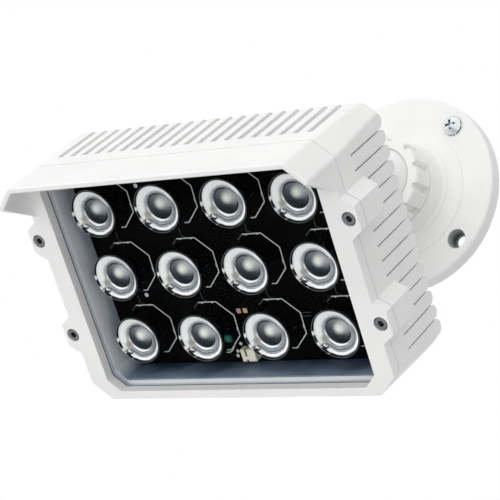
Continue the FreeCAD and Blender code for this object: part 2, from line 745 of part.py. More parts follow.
def make_driver_parts():
    front = size("cavity_floor - spacer_height - driver_thickness")
    floor = size("cavity_floor")
    spacers = []
    screws = []
    for across, up in DRIVER_SCREWS:
        x, z = size(across), size(up)
        spacer = cylinder(size("spacer_radius"), size("spacer_height"), FreeCAD.Vector(x, floor, z), FRONT)
        bore = cylinder(size("driver_screw_radius + thread_clearance"), size("spacer_height"),
                        FreeCAD.Vector(x, floor, z), FRONT)
        spacers.append(spacer.cut(bore))
        shank = cylinder(size("driver_screw_radius"), floor - front, FreeCAD.Vector(x, front, z), BACK)
        head = cylinder(size("driver_head_radius"), size("driver_head_height"),
                        FreeCAD.Vector(x, front, z), FRONT)
        screws.append(shank.fuse(head).removeSplitter())
    choke = cylinder(size("choke_radius"), size("choke_height"),
                     FreeCAD.Vector(size("choke_x"), front, 0), FRONT)
    waist = Part.makeTorus(size("choke_radius + choke_waist_out"), size("choke_waist_radius"),
                           FreeCAD.Vector(size("choke_x"), front - size("choke_height") / 2, 0), BACK)
    capacitors = []
    for level in (-1, 1):
        place = FreeCAD.Vector(size("driver_shift"), front, level * size("capacitor_z"))
        can = cylinder(size("capacitor_radius"), size("capacitor_height"), place, FRONT)
        top_edges = [edge for edge in can.Edges
                     if abs(edge.CenterOfMass.y - (front - size("capacitor_height"))) < 1e-6]
        capacitors.append(can.makeFillet(size("capacitor_round"), top_edges))
    terminal = Part.makeBox(size("terminal_width"), size("terminal_height"), size("terminal_depth"))
    terminal.translate(FreeCAD.Vector(size("terminal_x"), front - size("terminal_height"),
                                      -size("terminal_depth") / 2))
    for share in (0.25, 0.75):
        well = cylinder(size("terminal_well_radius"), size("terminal_well_depth"),
                        FreeCAD.Vector(size("terminal_x") + size("terminal_width") * share,
                                       front - size("terminal_height"), 0), BACK)
        terminal = terminal.cut(well)
    pins = []
    for share in (-0.5, 0.5):
        place = FreeCAD.Vector(size("link_x") + share * size("link_pitch"), size("board_behind"),
                               -size("link_z"))
        pins.append(cylinder(size("link_pin_radius"), front + size("driver_thickness") - place.y,
                             place, BACK))
    return [finished("driver_spacers", Part.makeCompound(spacers)),
            finished("driver_screws", Part.makeCompound(screws)),
            finished("choke", choke.cut(waist)),
            finished("capacitors", Part.makeCompound(capacitors)),
            finished("terminal_block", terminal),
            finished("link_pins", Part.makeCompound(pins))]


def make_lens():
    """One clear collimator, turned about z with its face at z = 0 and its base at the emitter."""
    body = new_body("lens_form")
    base = "-(board_behind - lens_standing)"
    bead = "(lens_well_radius ^ 2 + lens_bead_height ^ 2) / (2 * lens_bead_height)"
    turned(body, "collimator", [
        ("lens_dish_radius", "0"),
        ("lens_radius", "0"),
        ("lens_radius", "-lens_rim"),
        ("lens_cone_top", "-lens_rim"),
        ("lens_cone_base", base, "lens_cone_curve", -1),
        ("lens_pocket_radius", base),
        ("lens_pocket_radius", base + " + lens_pocket_depth"),
        ("0", base + " + lens_pocket_depth + lens_pocket_rise"),
        ("0", "lens_bead_height - lens_well_depth"),
        ("lens_well_radius", "-lens_well_depth", bead, -1),
        ("lens_dish_radius", "-lens_dish_drop")])
    leg = sketch_on(body, "leg_sketch", "XY_Plane", "-lens_rim")
    draw_circle(leg, "lens_leg_circle", "0", "lens_leg_radius")
    pad = solid_from(body, leg, "Pad", "leg", Length="board_behind - lens_rim", Reversed=True)
    round_pattern(body, pad, "legs", "lens_legs")
    return body


def make_lamps():
    """Twelve lenses and twelve emitters, row by row from the top left."""
    form = make_lens()
    parts = []
    number = 0
    columns, rows = int(size("lens_columns")), int(size("lens_rows"))
    face_forward = FreeCAD.Rotation(FreeCAD.Vector(1, 0, 0), 90)
    side = size("emitter_side")
    board = size("board_behind")
    die = Part.makeBox(side, size("emitter_height"), side)
    die.translate(FreeCAD.Vector(-side / 2, board - size("emitter_height"), -side / 2))
    dome = Part.makeSphere(size("emitter_dome"), FreeCAD.Vector(0, board - size("emitter_height"), 0),
                           FRONT, 0, 90, 360)
    emitter = die.fuse(dome).removeSplitter()
    for row in range(rows):
        for column in range(columns):
            number += 1
            place = FreeCAD.Vector((column - (columns - 1) / 2) * size("lens_pitch_x"), 0,
                                   ((rows - 1) / 2 - row) * size("lens_pitch_z"))
            lens = form.Shape.copy()
            lens.Placement = FreeCAD.Placement(place, face_forward)
            parts.append(finished("lens_%d" % number, lens))
            lamp = emitter.copy()
            lamp.translate(place)
            parts.append(finished("led_%d" % number, lamp))
    return parts


def make_board_parts():
    board = size("board_behind")
    place = FreeCAD.Vector(-size("photocell_x"), board, -size("photocell_z"))
    cell = cylinder(size("photocell_radius"), size("photocell_height"), place, FRONT)
    rim = [edge for edge in cell.Edges if abs(edge.CenterOfMass.y - board + size("photocell_height")) < 1e-6]
    photocell = finished("photocell", cell.makeFillet(size("photocell_round"), rim))
    width, length, height = size("socket_width"), size("socket_length"), size("socket_height")
    slit_width, slit_length = size("socket_slit_width"), size("socket_slit_length")
    depth = size("socket_slit_depth")
    shell = Part.makeBox(width, height, length)
    slit = Part.makeBox(slit_width, depth, slit_length)
    slit.translate(FreeCAD.Vector((width - slit_width) / 2, 0, length - slit_length))
    notch = Part.makeBox(slit_width, depth, size("socket_notch"))
    notch.translate(FreeCAD.Vector((width - slit_width) / 2, 0, 0))
    shell = shell.cut(slit).cut(notch)
    shell.translate(FreeCAD.Vector(-size("socket_x") - width / 2, board - height,
                                   -size("socket_z") - length / 2))
    return [photocell, finished("board_socket", shell)]


# Screws


def socket_screw(radius, length, head_radius, head_height, drive_radius):
    """A cap screw along z: its head's seat at z = 0, its shank below, a six-sided drive in the head."""
    shank = cylinder(radius, length, FreeCAD.Vector(0, 0, -length), UP)
    head = cylinder(head_radius, head_height, FreeCAD.Vector(0, 0, 0), UP)
    rim = [edge for edge in head.Edges if abs(edge.CenterOfMass.z - head_height) < 1e-6]
    head = head.makeChamfer(head_height * size("head_edge_share"), rim)
    corners = [FreeCAD.Vector(drive_radius * math.cos(math.radians(60 * step)),
                              drive_radius * math.sin(math.radians(60 * step)), head_height)
               for step in range(7)]
    depth = head_height * size("socket_depth_share")
    drive = Part.Face(Part.makePolygon(corners)).extrude(FreeCAD.Vector(0, 0, -depth))
    return shank.fuse(head).removeSplitter().cut(drive)


def cross_screw(radius, length, head_radius, head_height):
    """A pan-head wall screw along z with a cross-shaped drive, a thinner neck and a pointed end."""
    point = size("wall_point_length")
    neck = size("wall_neck_length")
    thread = cylinder(radius, length - point - neck, FreeCAD.Vector(0, 0, point - length), UP)
    shank = cylinder(size("wall_neck_radius"), neck, FreeCAD.Vector(0, 0, -neck), UP).fuse(thread)
    tip = Part.makeCone(radius * size("point_share"), radius, point, FreeCAD.Vector(0, 0, -length), UP)
    dome_radius = (head_radius ** 2 + head_height ** 2) / (2 * head_height)
    ball = Part.makeSphere(dome_radius)
    ball.translate(FreeCAD.Vector(0, 0, head_height - dome_radius))
    head = ball.common(cylinder(head_radius, head_height, FreeCAD.Vector(0, 0, 0), UP))
    screw = shank.fuse(tip).fuse(head).removeSplitter()
    half_length = head_radius * size("cross_length_share")
    half_width = head_radius * size("cross_width_share")
    for turn in (0, 90):
        wing = Part.makeBox(2 * half_length, 2 * half_width, head_height)
        wing.translate(FreeCAD.Vector(-half_length, -half_width, head_height * size("cross_floor_share")))
        wing.rotate(FreeCAD.Vector(0, 0, 0), UP, turn)
        screw = screw.cut(wing)
    return screw


def placed(shape, place, rotation):
    copy = shape.copy()
    copy.Placement = FreeCAD.Placement(place, rotation)
    return copy


def make_head_screws():
    facing_front = FreeCAD.Rotation(FreeCAD.Vector(1, 0, 0), 90)
    facing_back = FreeCAD.Rotation(FreeCAD.Vector(1, 0, 0), -90)
    drive = size("small_head_radius * socket_share")
    cover_screw = socket_screw(size("small_screw_radius"), size("cover_screw_length"),
                               size("small_head_radius"), size("small_head_height"), drive)
    seat = size("ear_recess_depth - bezel_ahead")
    cover = [placed(cover_screw, FreeCAD.Vector(size(across), seat, size(up)), facing_front)
             for across, up in EAR_SCREWS]
    board_screw = socket_screw(size("small_screw_radius"), size("board_screw_length"),
                               size("small_head_radius"), size("board_head_height"), drive)
    board = [placed(board_screw, FreeCAD.Vector(size(across), size("board_behind"), size(up)), facing_front)
             for across, up in BOARD_SCREWS]
    arm_screw = socket_screw(size("arm_screw_radius"), size("arm_screw_length"), size("arm_head_radius"),
                             size("arm_head_height"), size("arm_head_radius * socket_share"))
    arm = []
    count = int(size("flange_bolts"))
    for index in range(count):
        turn = math.radians(360 * index / count + 45)
        place = FreeCAD.Vector(size("flange_bolt_circle") * math.cos(turn),
                               size("arm_boss_back + flange_thickness"),
                               size("flange_bolt_circle") * math.sin(turn) - size("ball_below"))
        arm.append(placed(arm_screw, place, facing_back))
    return [finished("cover_screws", Part.makeCompound(cover)),
            finished("board_screws", Part.makeCompound(board)),
            finished("arm_screws", Part.makeCompound(arm))]


# Cable gland on the back of the head, drawn about z with z = 0 on the boss and z out of the head


def hexagon(flat_radius):
    """The six corners of a hexagon, from the distance of its flats to its middle."""
    points = []
    for step in range(6):
        turn = "(60 * %d)" % step
        points.append(("%s / cos(30) * cos(%s)" % (flat_radius, turn),
                       "%s / cos(30) * sin(%s)" % (flat_radius, turn)))
    return points


def make_gland():
    body = new_body("gland_body")
    hexed = sketch_on(body, "hex_sketch", "XY_Plane")
    draw_outline(hexed, hexagon("gland_hex"))
    solid_from(body, hexed, "Pad", "hex", Length="gland_hex_height")
    neck = sketch_on(body, "neck_sketch", "XY_Plane", "gland_hex_height")
    draw_circle(neck, "0", "0", "gland_thread_radius")
    solid_from(body, neck, "Pad", "neck", Length="gland_neck_height")
    shank = sketch_on(body, "shank_sketch", "XY_Plane")
    draw_circle(shank, "0", "0", "gland_thread_radius")
    solid_from(body, shank, "Pad", "shank", Length="gland_shank", Reversed=True)
    bore = sketch_on(body, "bore_sketch", "XY_Plane", "gland_hex_height + gland_neck_height")
    draw_circle(bore, "0", "0", "gland_bore_radius")
    solid_from(body, bore, "Pocket", "bore", Type="ThroughAll")

    nut = new_body("gland_nut")
    bottom = "gland_hex_height + gland_nut_gap"
    top = "gland_hex_height + gland_nut_gap + gland_nut_height"
    thread = "gland_thread_radius + gland_clearance"
    turned(nut, "dome", [
        (thread, bottom),
        ("gland_nut_radius", bottom),
        ("gland_nut_radius", top + " - gland_dome"),
        ("gland_nut_radius - gland_dome", top, "gland_dome", 1),
        ("gland_mouth_radius", top),
        ("gland_mouth_radius", top + " - gland_lip"),
        (thread, top + " - gland_taper")])

    seal = new_body("gland_seal")
    seal_radius = "gland_bore_radius - gland_clearance"
    turned(seal, "bush", [
        ("gland_seal_bore", "gland_hex_height - gland_seal_sink"),
        (seal_radius, "gland_hex_height - gland_seal_sink"),
        (seal_radius, top + " + gland_seal_rise - gland_seal_edge"),
        ("gland_seal_bore + gland_seal_flare", top + " + gland_seal_rise"),
        ("gland_seal_bore", top + " + gland_seal_rise")])

    locknut = new_body("gland_locknut")
    height = "gland_boss_back - cavity_floor + locknut_height"
    hexed = sketch_on(locknut, "locknut_sketch", "XY_Plane", "-(%s)" % height)
    draw_outline(hexed, hexagon("gland_hex"))
    draw_circle(hexed, "0", "0", "gland_thread_radius + gland_clearance")
    solid_from(locknut, hexed, "Pad", "locknut_hex", Length="locknut_height")
    return [body, nut, seal, locknut]


# Wall bracket, drawn with z out of the wall


def make_wall_plate():
    body = new_body("wall_plate")
    turned(body, "casting", [
        ("0", "0"),
        ("plate_radius", "0"),
        ("plate_radius", "plate_thickness - plate_round"),
        ("plate_radius - plate_round", "plate_thickness", "plate_round", 1),
        ("hub_foot_radius", "plate_thickness"),
        ("hub_foot_radius", "plate_thickness + hub_foot_rise"),
        ("hub_step_radius", "hub_step_height", "hub_flare", -1),
        ("hub_step_radius", "hub_step_height + hub_step_rise"),
        ("hub_step_radius - hub_step_ledge", "hub_step_height + hub_step_rise"),
        ("hub_shoulder_radius", "hub_shoulder_height", "hub_neck_flare", -1),
        ("hub_shoulder_radius - shroud_wall", "hub_shoulder_height"),
        ("hub_shoulder_radius - shroud_wall", "ring_bottom - ring_foot_gap"),
        ("spigot_radius", "ring_bottom - ring_foot_gap"),
        ("spigot_radius", "spigot_height"),
        ("socket_radius", "spigot_height"),
        ("socket_radius", "socket_floor"),
        ("0", "socket_floor")])
    turned(body, "back_recess", [
        ("back_recess_inner", "0"),
        ("back_recess_outer", "0"),
        ("back_recess_outer", "back_recess_depth"),
        ("back_recess_inner", "back_recess_depth")], cut=True)
    sinking = "atan((bolt_recess_radius - bolt_hole_radius) / bolt_recess_depth)"
    for name, radius, depth, taper in (("bolt_hole", "bolt_hole_radius", "plate_thickness", "0 deg"),
                                       ("bolt_recess", "bolt_recess_radius", "bolt_recess_depth",
                                        "-" + sinking)):
        sketch = sketch_on(body, name + "_sketch", "XY_Plane", "plate_thickness")
        turn = "(45 + bolt_clocking)"
        draw_circle(sketch, "bolt_circle_radius * cos(%s)" % turn, "bolt_circle_radius * sin(%s)" % turn,
                    radius)
        pocket = solid_from(body, sketch, "Pocket", name, Length=depth, TaperAngle=taper)
        round_pattern(body, pocket, name + "s", "bolt_count")
    return body


def make_ball_seat():
    body = new_body("ball_seat")
    hollow = "(ball_radius + ball_clearance)"
    rim = "sqrt(%s ^ 2 - (ball_height - seat_top) ^ 2)" % hollow
    turned(body, "cup", [
        ("seat_drain_radius", "socket_floor"),
        ("socket_radius - seat_clearance", "socket_floor"),
        ("socket_radius - seat_clearance", "seat_top"),
        (rim, "seat_top"),
        ("seat_drain_radius", "ball_height - sqrt(%s ^ 2 - seat_drain_radius ^ 2)" % hollow, hollow, -1)])
    return body


def make_ball():
    """The ball and its stud, drawn about z with the ball's middle at z = 0 and the stud upwards."""
    body = new_body("ball")
    edge = "sqrt(ball_radius ^ 2 - ball_flat ^ 2)"
    turned(body, "ball_and_stud", [
        ("0", "-ball_radius"),
        ("ball_radius", "0", "ball_radius", 1),
        (edge, "ball_flat", "ball_radius", 1),
        ("stud_radius", "ball_flat"),
        ("stud_radius", "stud_length"),
        ("0", "stud_length")])
    return body


def make_arm():
    """The arm, drawn like the ball: its axis is the stud's, z runs from the ball to the head."""
    body = new_body("arm")
    head_end = "(ball_behind - arm_boss_back)"
    foot = head_end + " - flange_thickness"
    bore = "stud_radius + stud_clearance"
    turned(body, "shaft", [
        (bore, "arm_start"),
        ("neck_radius", "arm_start"),
        ("neck_radius", "neck_end"),
        ("arm_radius", "arm_cone_end"),
        ("arm_end_radius", foot + " - arm_flare"),
        ("arm_end_radius + arm_flare", foot, "arm_flare", -1),
        ("flange_radius", foot),
        ("flange_radius", head_end),
        ("0", head_end),
        ("0", "arm_bore_depth"),
        (bore, "arm_bore_depth")])
    sketch = sketch_on(body, "flange_hole_sketch", "XY_Plane", foot)
    draw_circle(sketch, "flange_bolt_circle * cos(45)", "flange_bolt_circle * sin(45)",
                "flange_hole_radius")
    hole = solid_from(body, sketch, "Pocket", "flange_hole", Length="flange_thickness", Reversed=True)
    round_pattern(body, hole, "flange_holes", "flange_bolts")
    return body


def make_locking_ring():
    """The hand-turned ring that draws the ball into its seat. Round-lipped grip notches run to its front."""
    body = new_body("locking_ring")
    hollow = "(ball_radius + ball_clearance)"
    mouth = "sqrt(%s ^ 2 - (ring_top - ring_mouth_edge - ball_height) ^ 2)" % hollow
    thread = "spigot_radius + ring_clearance"
    sleeve = "hub_shoulder_radius - shroud_wall - ring_sleeve_gap"
    turned(body, "shell", [
        (thread, "ring_bottom"),
        (sleeve, "ring_bottom"),
        (sleeve, "ring_grip_bottom"),
        ("ring_base_radius - ring_edge", "ring_grip_bottom"),
        ("ring_base_radius", "ring_grip_bottom + ring_edge"),
        ("ring_top_radius", "ring_top - ring_edge"),
        ("ring_top_radius - ring_edge", "ring_top"),
        (mouth + " + ring_mouth_edge", "ring_top"),
        (mouth, "ring_top - ring_mouth_edge"),
        (hollow, "ball_height", hollow, -1),
        (hollow, "ring_bore_top"),
        (thread, "ring_bore_top")])
    sketch = sketch_on(body, "notch_sketch", "XY_Plane", "ring_grip_bottom + ring_collar")
    along = "cos(notch_clocking)", "sin(notch_clocking)"
    lip = "(ring_base_radius - notch_floor_radius)"
    floor = "notch_floor_width / 2"
    notch_mouth = "(notch_floor_width / 2 + ring_base_radius - notch_floor_radius)"
    corners = []
    for reach, half, arc in (("notch_floor_radius", "(-%s)" % floor, ()),
                             ("ring_base_radius", "(-%s)" % notch_mouth, (lip, -1)),
                             ("(ring_base_radius + cut_past)", "(-%s)" % notch_mouth, ()),
                             ("(ring_base_radius + cut_past)", notch_mouth, ()),
                             ("ring_base_radius", notch_mouth, ()),
                             ("notch_floor_radius", floor, (lip, -1))):
        corners.append(("%s * %s - %s * %s" % (reach, along[0], half, along[1]),
                        "%s * %s + %s * %s" % (reach, along[1], half, along[0])) + arc)
    draw_outline(sketch, corners)
    notch = solid_from(body, sketch, "Pocket", "notch", Type="ThroughAll", Reversed=True)
    round_pattern(body, notch, "notches", "notch_count")
    return body


def make_wall_screw():
    """The one screw that is fitted, in the upper right hole. It isn't driven home."""
    screw = cross_screw(size("wall_screw_radius"), size("wall_screw_length"), size("wall_head_radius"),
                        size("wall_head_height"))
    turn = math.radians(45 + size("bolt_clocking"))
    seat = FreeCAD.Vector(size("bolt_circle_radius") * math.cos(turn),
                          size("bolt_circle_radius") * math.sin(turn),
                          size("plate_thickness + wall_screw_lift"))
    return finished("wall_screw", placed(screw, seat, FreeCAD.Rotation(UP, size("wall_screw_turn"))))


# Placing


out_of_wall = FreeCAD.Placement(FreeCAD.Vector(0, 0, 0), FreeCAD.Rotation(FreeCAD.Vector(1, 0, 0), 90))
ball_place = FreeCAD.Vector(0, -size("ball_height"), 0)
tilted = FreeCAD.Rotation(FreeCAD.Vector(1, 0, 0), size("tilt"))
ball_in_head = FreeCAD.Vector(0, size("ball_behind"), -size("ball_below"))
head_place = FreeCAD.Placement(ball_place - tilted.multVec(ball_in_head), tilted)
towards_head = FreeCAD.Placement(ball_place, tilted).multiply(out_of_wall)
gland_place = head_place.multiply(FreeCAD.Placement(
    FreeCAD.Vector(-size("gland_x"), size("gland_boss_back"), size("gland_z")),
    FreeCAD.Rotation(FreeCAD.Vector(1, 0, 0), -90)))

bracket = [make_wall_plate(), make_ball_seat(), make_locking_ring(), make_wall_screw()]
ball_and_arm = [make_ball(), make_arm()]
head = [make_rear_housing(), make_front_cover()]
head += make_window() + make_boards() + make_lamps() + make_board_parts()
head += make_head_screws() + make_driver_parts()
gland = make_gland()

for group, place in ((bracket, out_of_wall), (ball_and_arm, towards_head), (head, head_place),
                     (gland, gland_place)):
    for part in group:
        part.Placement = place.multiply(part.Placement)
doc.recompute()

# Checking, then writing one file for each sub-part

for item in doc.Objects:
    if "Invalid" in item.State or "Error" in item.State:
        raise RuntimeError("%s is %s" % (item.Label, item.State))

os.makedirs("parts", exist_ok=True)
for part in bracket + ball_and_arm + head + gland:
    if part.Shape.isNull() or not part.Shape.isValid():
        raise RuntimeError("%s has no valid shape" % part.Label)
    part.Shape.exportStep("parts/%s.step" % part.Label)
    print("%-16s %2d solids %10.1f mm3" % (part.Label, len(part.Shape.Solids), part.Shape.Volume))
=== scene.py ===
import math

import bmesh
import bpy
from mathutils import Matrix, Vector


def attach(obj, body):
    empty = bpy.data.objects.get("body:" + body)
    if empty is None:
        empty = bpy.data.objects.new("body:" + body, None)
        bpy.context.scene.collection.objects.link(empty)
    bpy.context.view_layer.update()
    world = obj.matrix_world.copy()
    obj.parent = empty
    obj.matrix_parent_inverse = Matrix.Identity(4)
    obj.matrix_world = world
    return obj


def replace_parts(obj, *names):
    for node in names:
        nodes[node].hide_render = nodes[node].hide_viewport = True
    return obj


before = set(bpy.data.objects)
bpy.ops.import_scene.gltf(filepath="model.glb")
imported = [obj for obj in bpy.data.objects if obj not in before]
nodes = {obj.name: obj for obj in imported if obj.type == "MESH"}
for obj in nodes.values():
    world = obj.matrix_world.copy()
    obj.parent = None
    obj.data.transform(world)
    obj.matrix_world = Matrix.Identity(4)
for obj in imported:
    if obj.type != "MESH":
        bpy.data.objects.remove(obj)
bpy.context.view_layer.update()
mm = 0.001  # metres
perMetre = 1000.0  # millimetres
print("frame loaded:", len(nodes), "nodes")

# Placing. The head is drawn level, in mm, from the middle of its twelve lens faces:
# x to the right, y from front to back, z up. It hangs from the ball, tilted down.

headSet = {
    "tilt": 41.0,  # degrees
    "ballInHead": Vector((0.0, 143.5, -26.0)),  # mm
    "ballInRow": Vector((0.0, -23.8, 0.0)),  # mm
}
tiltTurn = Matrix.Rotation(math.radians(headSet["tilt"]), 4, "X")
headToRow = (Matrix.Translation(headSet["ballInRow"] * mm) @ tiltTurn
             @ Matrix.Translation(headSet["ballInHead"] * -mm) @ Matrix.Scale(mm, 4))
rowToHead = headToRow.inverted()  # metres in, mm out


def hexToLinear(text):
    channels = [int(text[i:i + 2], 16) / 255 for i in (1, 3, 5)]
    linear = [c / 12.92 if c <= 0.04045 else ((c + 0.055) / 1.055) ** 2.4 for c in channels]
    return (*linear, 1.0)


def addNode(tree, kind, values=None, links=None, **settings):
    # one node, with its settings, the values of its sockets and the links that come into them
    new = tree.nodes.new(kind)
    for name, setting in settings.items():
        setattr(new, name, setting)
    for name, value in (values or {}).items():
        new.inputs[name].default_value = value
    for name, source in (links or {}).items():
        tree.links.new(source, new.inputs[name])
    return new


def newMaterial(name, values):
    material = bpy.data.materials.new(name)
    material.use_nodes = True
    shader = material.node_tree.nodes["Principled BSDF"]
    for socket, value in values.items():
        shader.inputs[socket].default_value = value
    return material, material.node_tree, shader


def fillRamp(ramp, stops):
    # stops: (position, hex colour), in order; the ramp's own two stops become the first and the last
    for index, (position, colour) in enumerate([stops[0], stops[-1]] + stops[1:-1]):
        stop = ramp.elements[index] if index < 2 else ramp.elements.new(position)
        stop.position = position
        stop.color = hexToLinear(colour)


# Camera, set from the lens grid and the cover's edges in the photo

camera = {
    "place": (0.4646, -0.7687, -0.2523),
    "forward": (-0.568, 0.788, 0.237),
    "up": (0.0522, -0.2529, 0.9661),
    "lens": 141.6,  # mm
    "sensorWidth": 36.0,  # mm
    "clipStart": 0.01,
}
forward = Vector(camera["forward"]).normalized()
right = forward.cross(Vector(camera["up"])).normalized()
upward = right.cross(forward)
cameraData = bpy.data.cameras.new("camera")
cameraData.lens = camera["lens"]
cameraData.sensor_width = camera["sensorWidth"]
cameraData.clip_start = camera["clipStart"]
cameraObject = bpy.data.objects.new("camera", cameraData)
cameraTurn = Matrix((right, upward, -forward)).transposed().to_4x4()
cameraObject.matrix_world = Matrix.Translation(camera["place"]) @ cameraTurn
bpy.context.scene.collection.objects.link(cameraObject)
bpy.context.scene.camera = cameraObject

# Studio: a pale floor well below the object, a surround that looks white and two soft lamps

studio = {
    "floorHeight": -1.5,
    "floorSide": 4.0,
    "floorColour": "#E6E6E6",
    "floorRoughness": 0.8,
    # how bright the surround is to the right, behind and above, and to the left, in front and below
    "farSides": (0.47, 0.2, 0.92),
    "nearSides": (0.25, 1.6, 0.8),
    "lamps": [
        # name, place, aim, side in m, watts
        ("key softbox", (-0.93, -1.21, 0.63), (0.0, -0.1, -0.05), 0.7, 1.0),
        ("overhead softbox", (0.0, -0.55, 1.5), (0.0, -0.1, -0.05), 1.2, 0.7),
    ],
}
scene = bpy.context.scene
scene.view_settings.view_transform = "Standard"

world = bpy.data.worlds.new("white surround")
world.use_nodes = True
scene.world = world
tree = world.node_tree
tree.nodes.clear()
direction = addNode(tree, "ShaderNodeTexCoord")
shares = []
for operation, sides in (("MAXIMUM", studio["farSides"]), ("MINIMUM", studio["nearSides"])):
    part = addNode(tree, "ShaderNodeVectorMath", links={0: direction.outputs["Generated"]},
                   operation=operation)
    square = addNode(tree, "ShaderNodeVectorMath", links={0: part.outputs[0], 1: part.outputs[0]},
                     operation="MULTIPLY")
    share = addNode(tree, "ShaderNodeVectorMath", {1: sides}, {0: square.outputs[0]},
                    operation="DOT_PRODUCT")
    shares.append(share.outputs["Value"])
ambient = addNode(tree, "ShaderNodeMath", links={0: shares[0], 1: shares[1]}, operation="ADD")
# The camera, mirrors and glass see plain white. Only the light that falls on matt faces differs by side.
path = addNode(tree, "ShaderNodeLightPath")
seen = path.outputs["Is Camera Ray"]
for ray in ("Is Glossy Ray", "Is Transmission Ray"):
    seen = addNode(tree, "ShaderNodeMath", links={0: seen, 1: path.outputs[ray]},
                   operation="MAXIMUM").outputs[0]
level = addNode(tree, "ShaderNodeMapRange", {"To Max": 1.0}, {"Value": seen, "To Min": ambient.outputs[0]})
surround = addNode(tree, "ShaderNodeBackground", {"Color": (1, 1, 1, 1)}, {"Strength": level.outputs[0]})
addNode(tree, "ShaderNodeOutputWorld", links={"Surface": surround.outputs[0]})

for name, place, aim, side, watts in studio["lamps"]:
    lampData = bpy.data.lights.new(name, "AREA")
    lampData.size = side
    lampData.energy = watts
    lamp = bpy.data.objects.new(name, lampData)
    lamp.location = place
    lamp.rotation_euler = (Vector(aim) - Vector(place)).to_track_quat("-Z", "Y").to_euler()
    scene.collection.objects.link(lamp)

floorMesh = bpy.data.meshes.new("floor")
half = studio["floorSide"] / 2
floorCorners = [(x * half, y * half, studio["floorHeight"]) for x, y in ((-1, -1), (1, -1), (1, 1), (-1, 1))]
floorMesh.from_pydata(floorCorners, [], [(0, 1, 2, 3)])
floor = bpy.data.objects.new("floor", floorMesh)
scene.collection.objects.link(floor)
floorMesh.materials.append(newMaterial("pale floor", {
    "Base Color": hexToLinear(studio["floorColour"]), "Roughness": studio["floorRoughness"]})[0])
print("camera and studio ready")

# Materials

materials = {}
markHeight = 0.1 * mm  # the depth that a finish's marks are drawn with
recessSamples = 8

# Polyester powder coat on die-cast aluminium: neutral white, satin, with a faint orange peel.
enamel = {
    "colour": "#F4F4F3",
    "shade": "#EEEEED",
    "roughness": 0.38,
    "skin": 0.15,  # how much the coat's clear skin shines
    "skinRoughness": 0.2,
    "peel": 1.1,  # mm across one swelling of the coat
    "peelHeight": 0.2,  # mm
    "peelStrength": 0.06,
    "patch": 22.0,  # mm across a patch where the coat is a touch thicker
    "patchStart": 0.3,
    "patchEnd": 0.7,
}
# Inside the housing the white coat carries painted shade and a painted reflection of the dark board: pale on
# the side walls, darker towards the back, and slate blue on the long walls.
insidePaintedShade = {
    "halfWidth": 69.6,  # mm
    "halfHeight": 48.7,
    "depth": 17.4,
    "sideFront": "#F1F6FC",
    "sideMiddle": "#F3F8FF",
    "sideBack": "#C0CFE2",
    "longFront": "#7E93A9",
    "longBack": "#2A3E56",
    "longStart": 41.0,  # mm above and below the middle, where the side wall turns into the long one
    "fadeStart": -1.0,  # mm behind the lens faces
    "fadeEnd": 13.0,
    "streak": 14.0,  # mm across a streak, which moves the colours in or out
    "streakStart": 0.3,
    "streakEnd": 0.7,
    "streakReach": 4.5,  # mm
}
# Painted shade in the wall plate's bolt holes: near black down the bore, grey up the funnel.
boltHoles = {
    "circle": 39.0,  # mm, radius of the bolt circle
    "turn": 7.0,  # degrees off the square
    "bore": 2.8,  # mm, radius
    "mouth": 4.62,
    "throatEdge": 0.03,  # share of the mouth's radius
    "boreColour": "#050505",
    "throatColour": "#3C3E40",
    "mouthColour": "#B9BBBC",
}


def enamelMaterial(name):
    material, tree, shader = newMaterial(name, {
        "Roughness": enamel["roughness"], "Coat Weight": enamel["skin"],
        "Coat Roughness": enamel["skinRoughness"]})
    place = addNode(tree, "ShaderNodeTexCoord")
    patches = addNode(tree, "ShaderNodeTexNoise", {"Scale": perMetre / enamel["patch"], "Detail": 2.0},
                      {"Vector": place.outputs["Object"]})
    tone = addNode(tree, "ShaderNodeValToRGB", links={"Fac": patches.outputs[0]})
    fillRamp(tone.color_ramp, [(enamel["patchStart"], enamel["shade"]),
                               (enamel["patchEnd"], enamel["colour"])])
    peel = addNode(tree, "ShaderNodeTexNoise", {"Scale": perMetre / enamel["peel"], "Detail": 1.0},
                   {"Vector": place.outputs["Object"]})
    bump = addNode(tree, "ShaderNodeBump", {
        "Strength": enamel["peelStrength"], "Distance": enamel["peelHeight"] * mm},
        {"Height": peel.outputs[0]})
    tree.links.new(bump.outputs[0], shader.inputs["Normal"])
    tree.links.new(tone.outputs[0], shader.inputs["Base Color"])
    return material, tree, shader, tone


def headPlace(tree):
    # the shaded point in the head's own millimetres
    place = addNode(tree, "ShaderNodeTexCoord")
    return addNode(tree, "ShaderNodeMapping", {
        "Location": rowToHead.translation, "Rotation": rowToHead.to_euler(),
        "Scale": (perMetre, perMetre, perMetre)}, {"Vector": place.outputs["Object"]}).outputs[0]


def softSpot(tree, place, centre, radius, softness):
    # 1 inside a round spot, fading to 0 over the outer part of its radius, all in mm
    offset = addNode(tree, "ShaderNodeVectorMath", {1: centre}, {0: place}, operation="SUBTRACT")
    reach = addNode(tree, "ShaderNodeVectorMath", links={0: offset.outputs[0]}, operation="LENGTH")
    return addNode(tree, "ShaderNodeMapRange", {"From Min": radius, "From Max": radius - softness},
                   {"Value": reach.outputs["Value"]}, interpolation_type="SMOOTHSTEP").outputs[0]


materials["white enamel"] = enamelMaterial("white powder coat")[0]
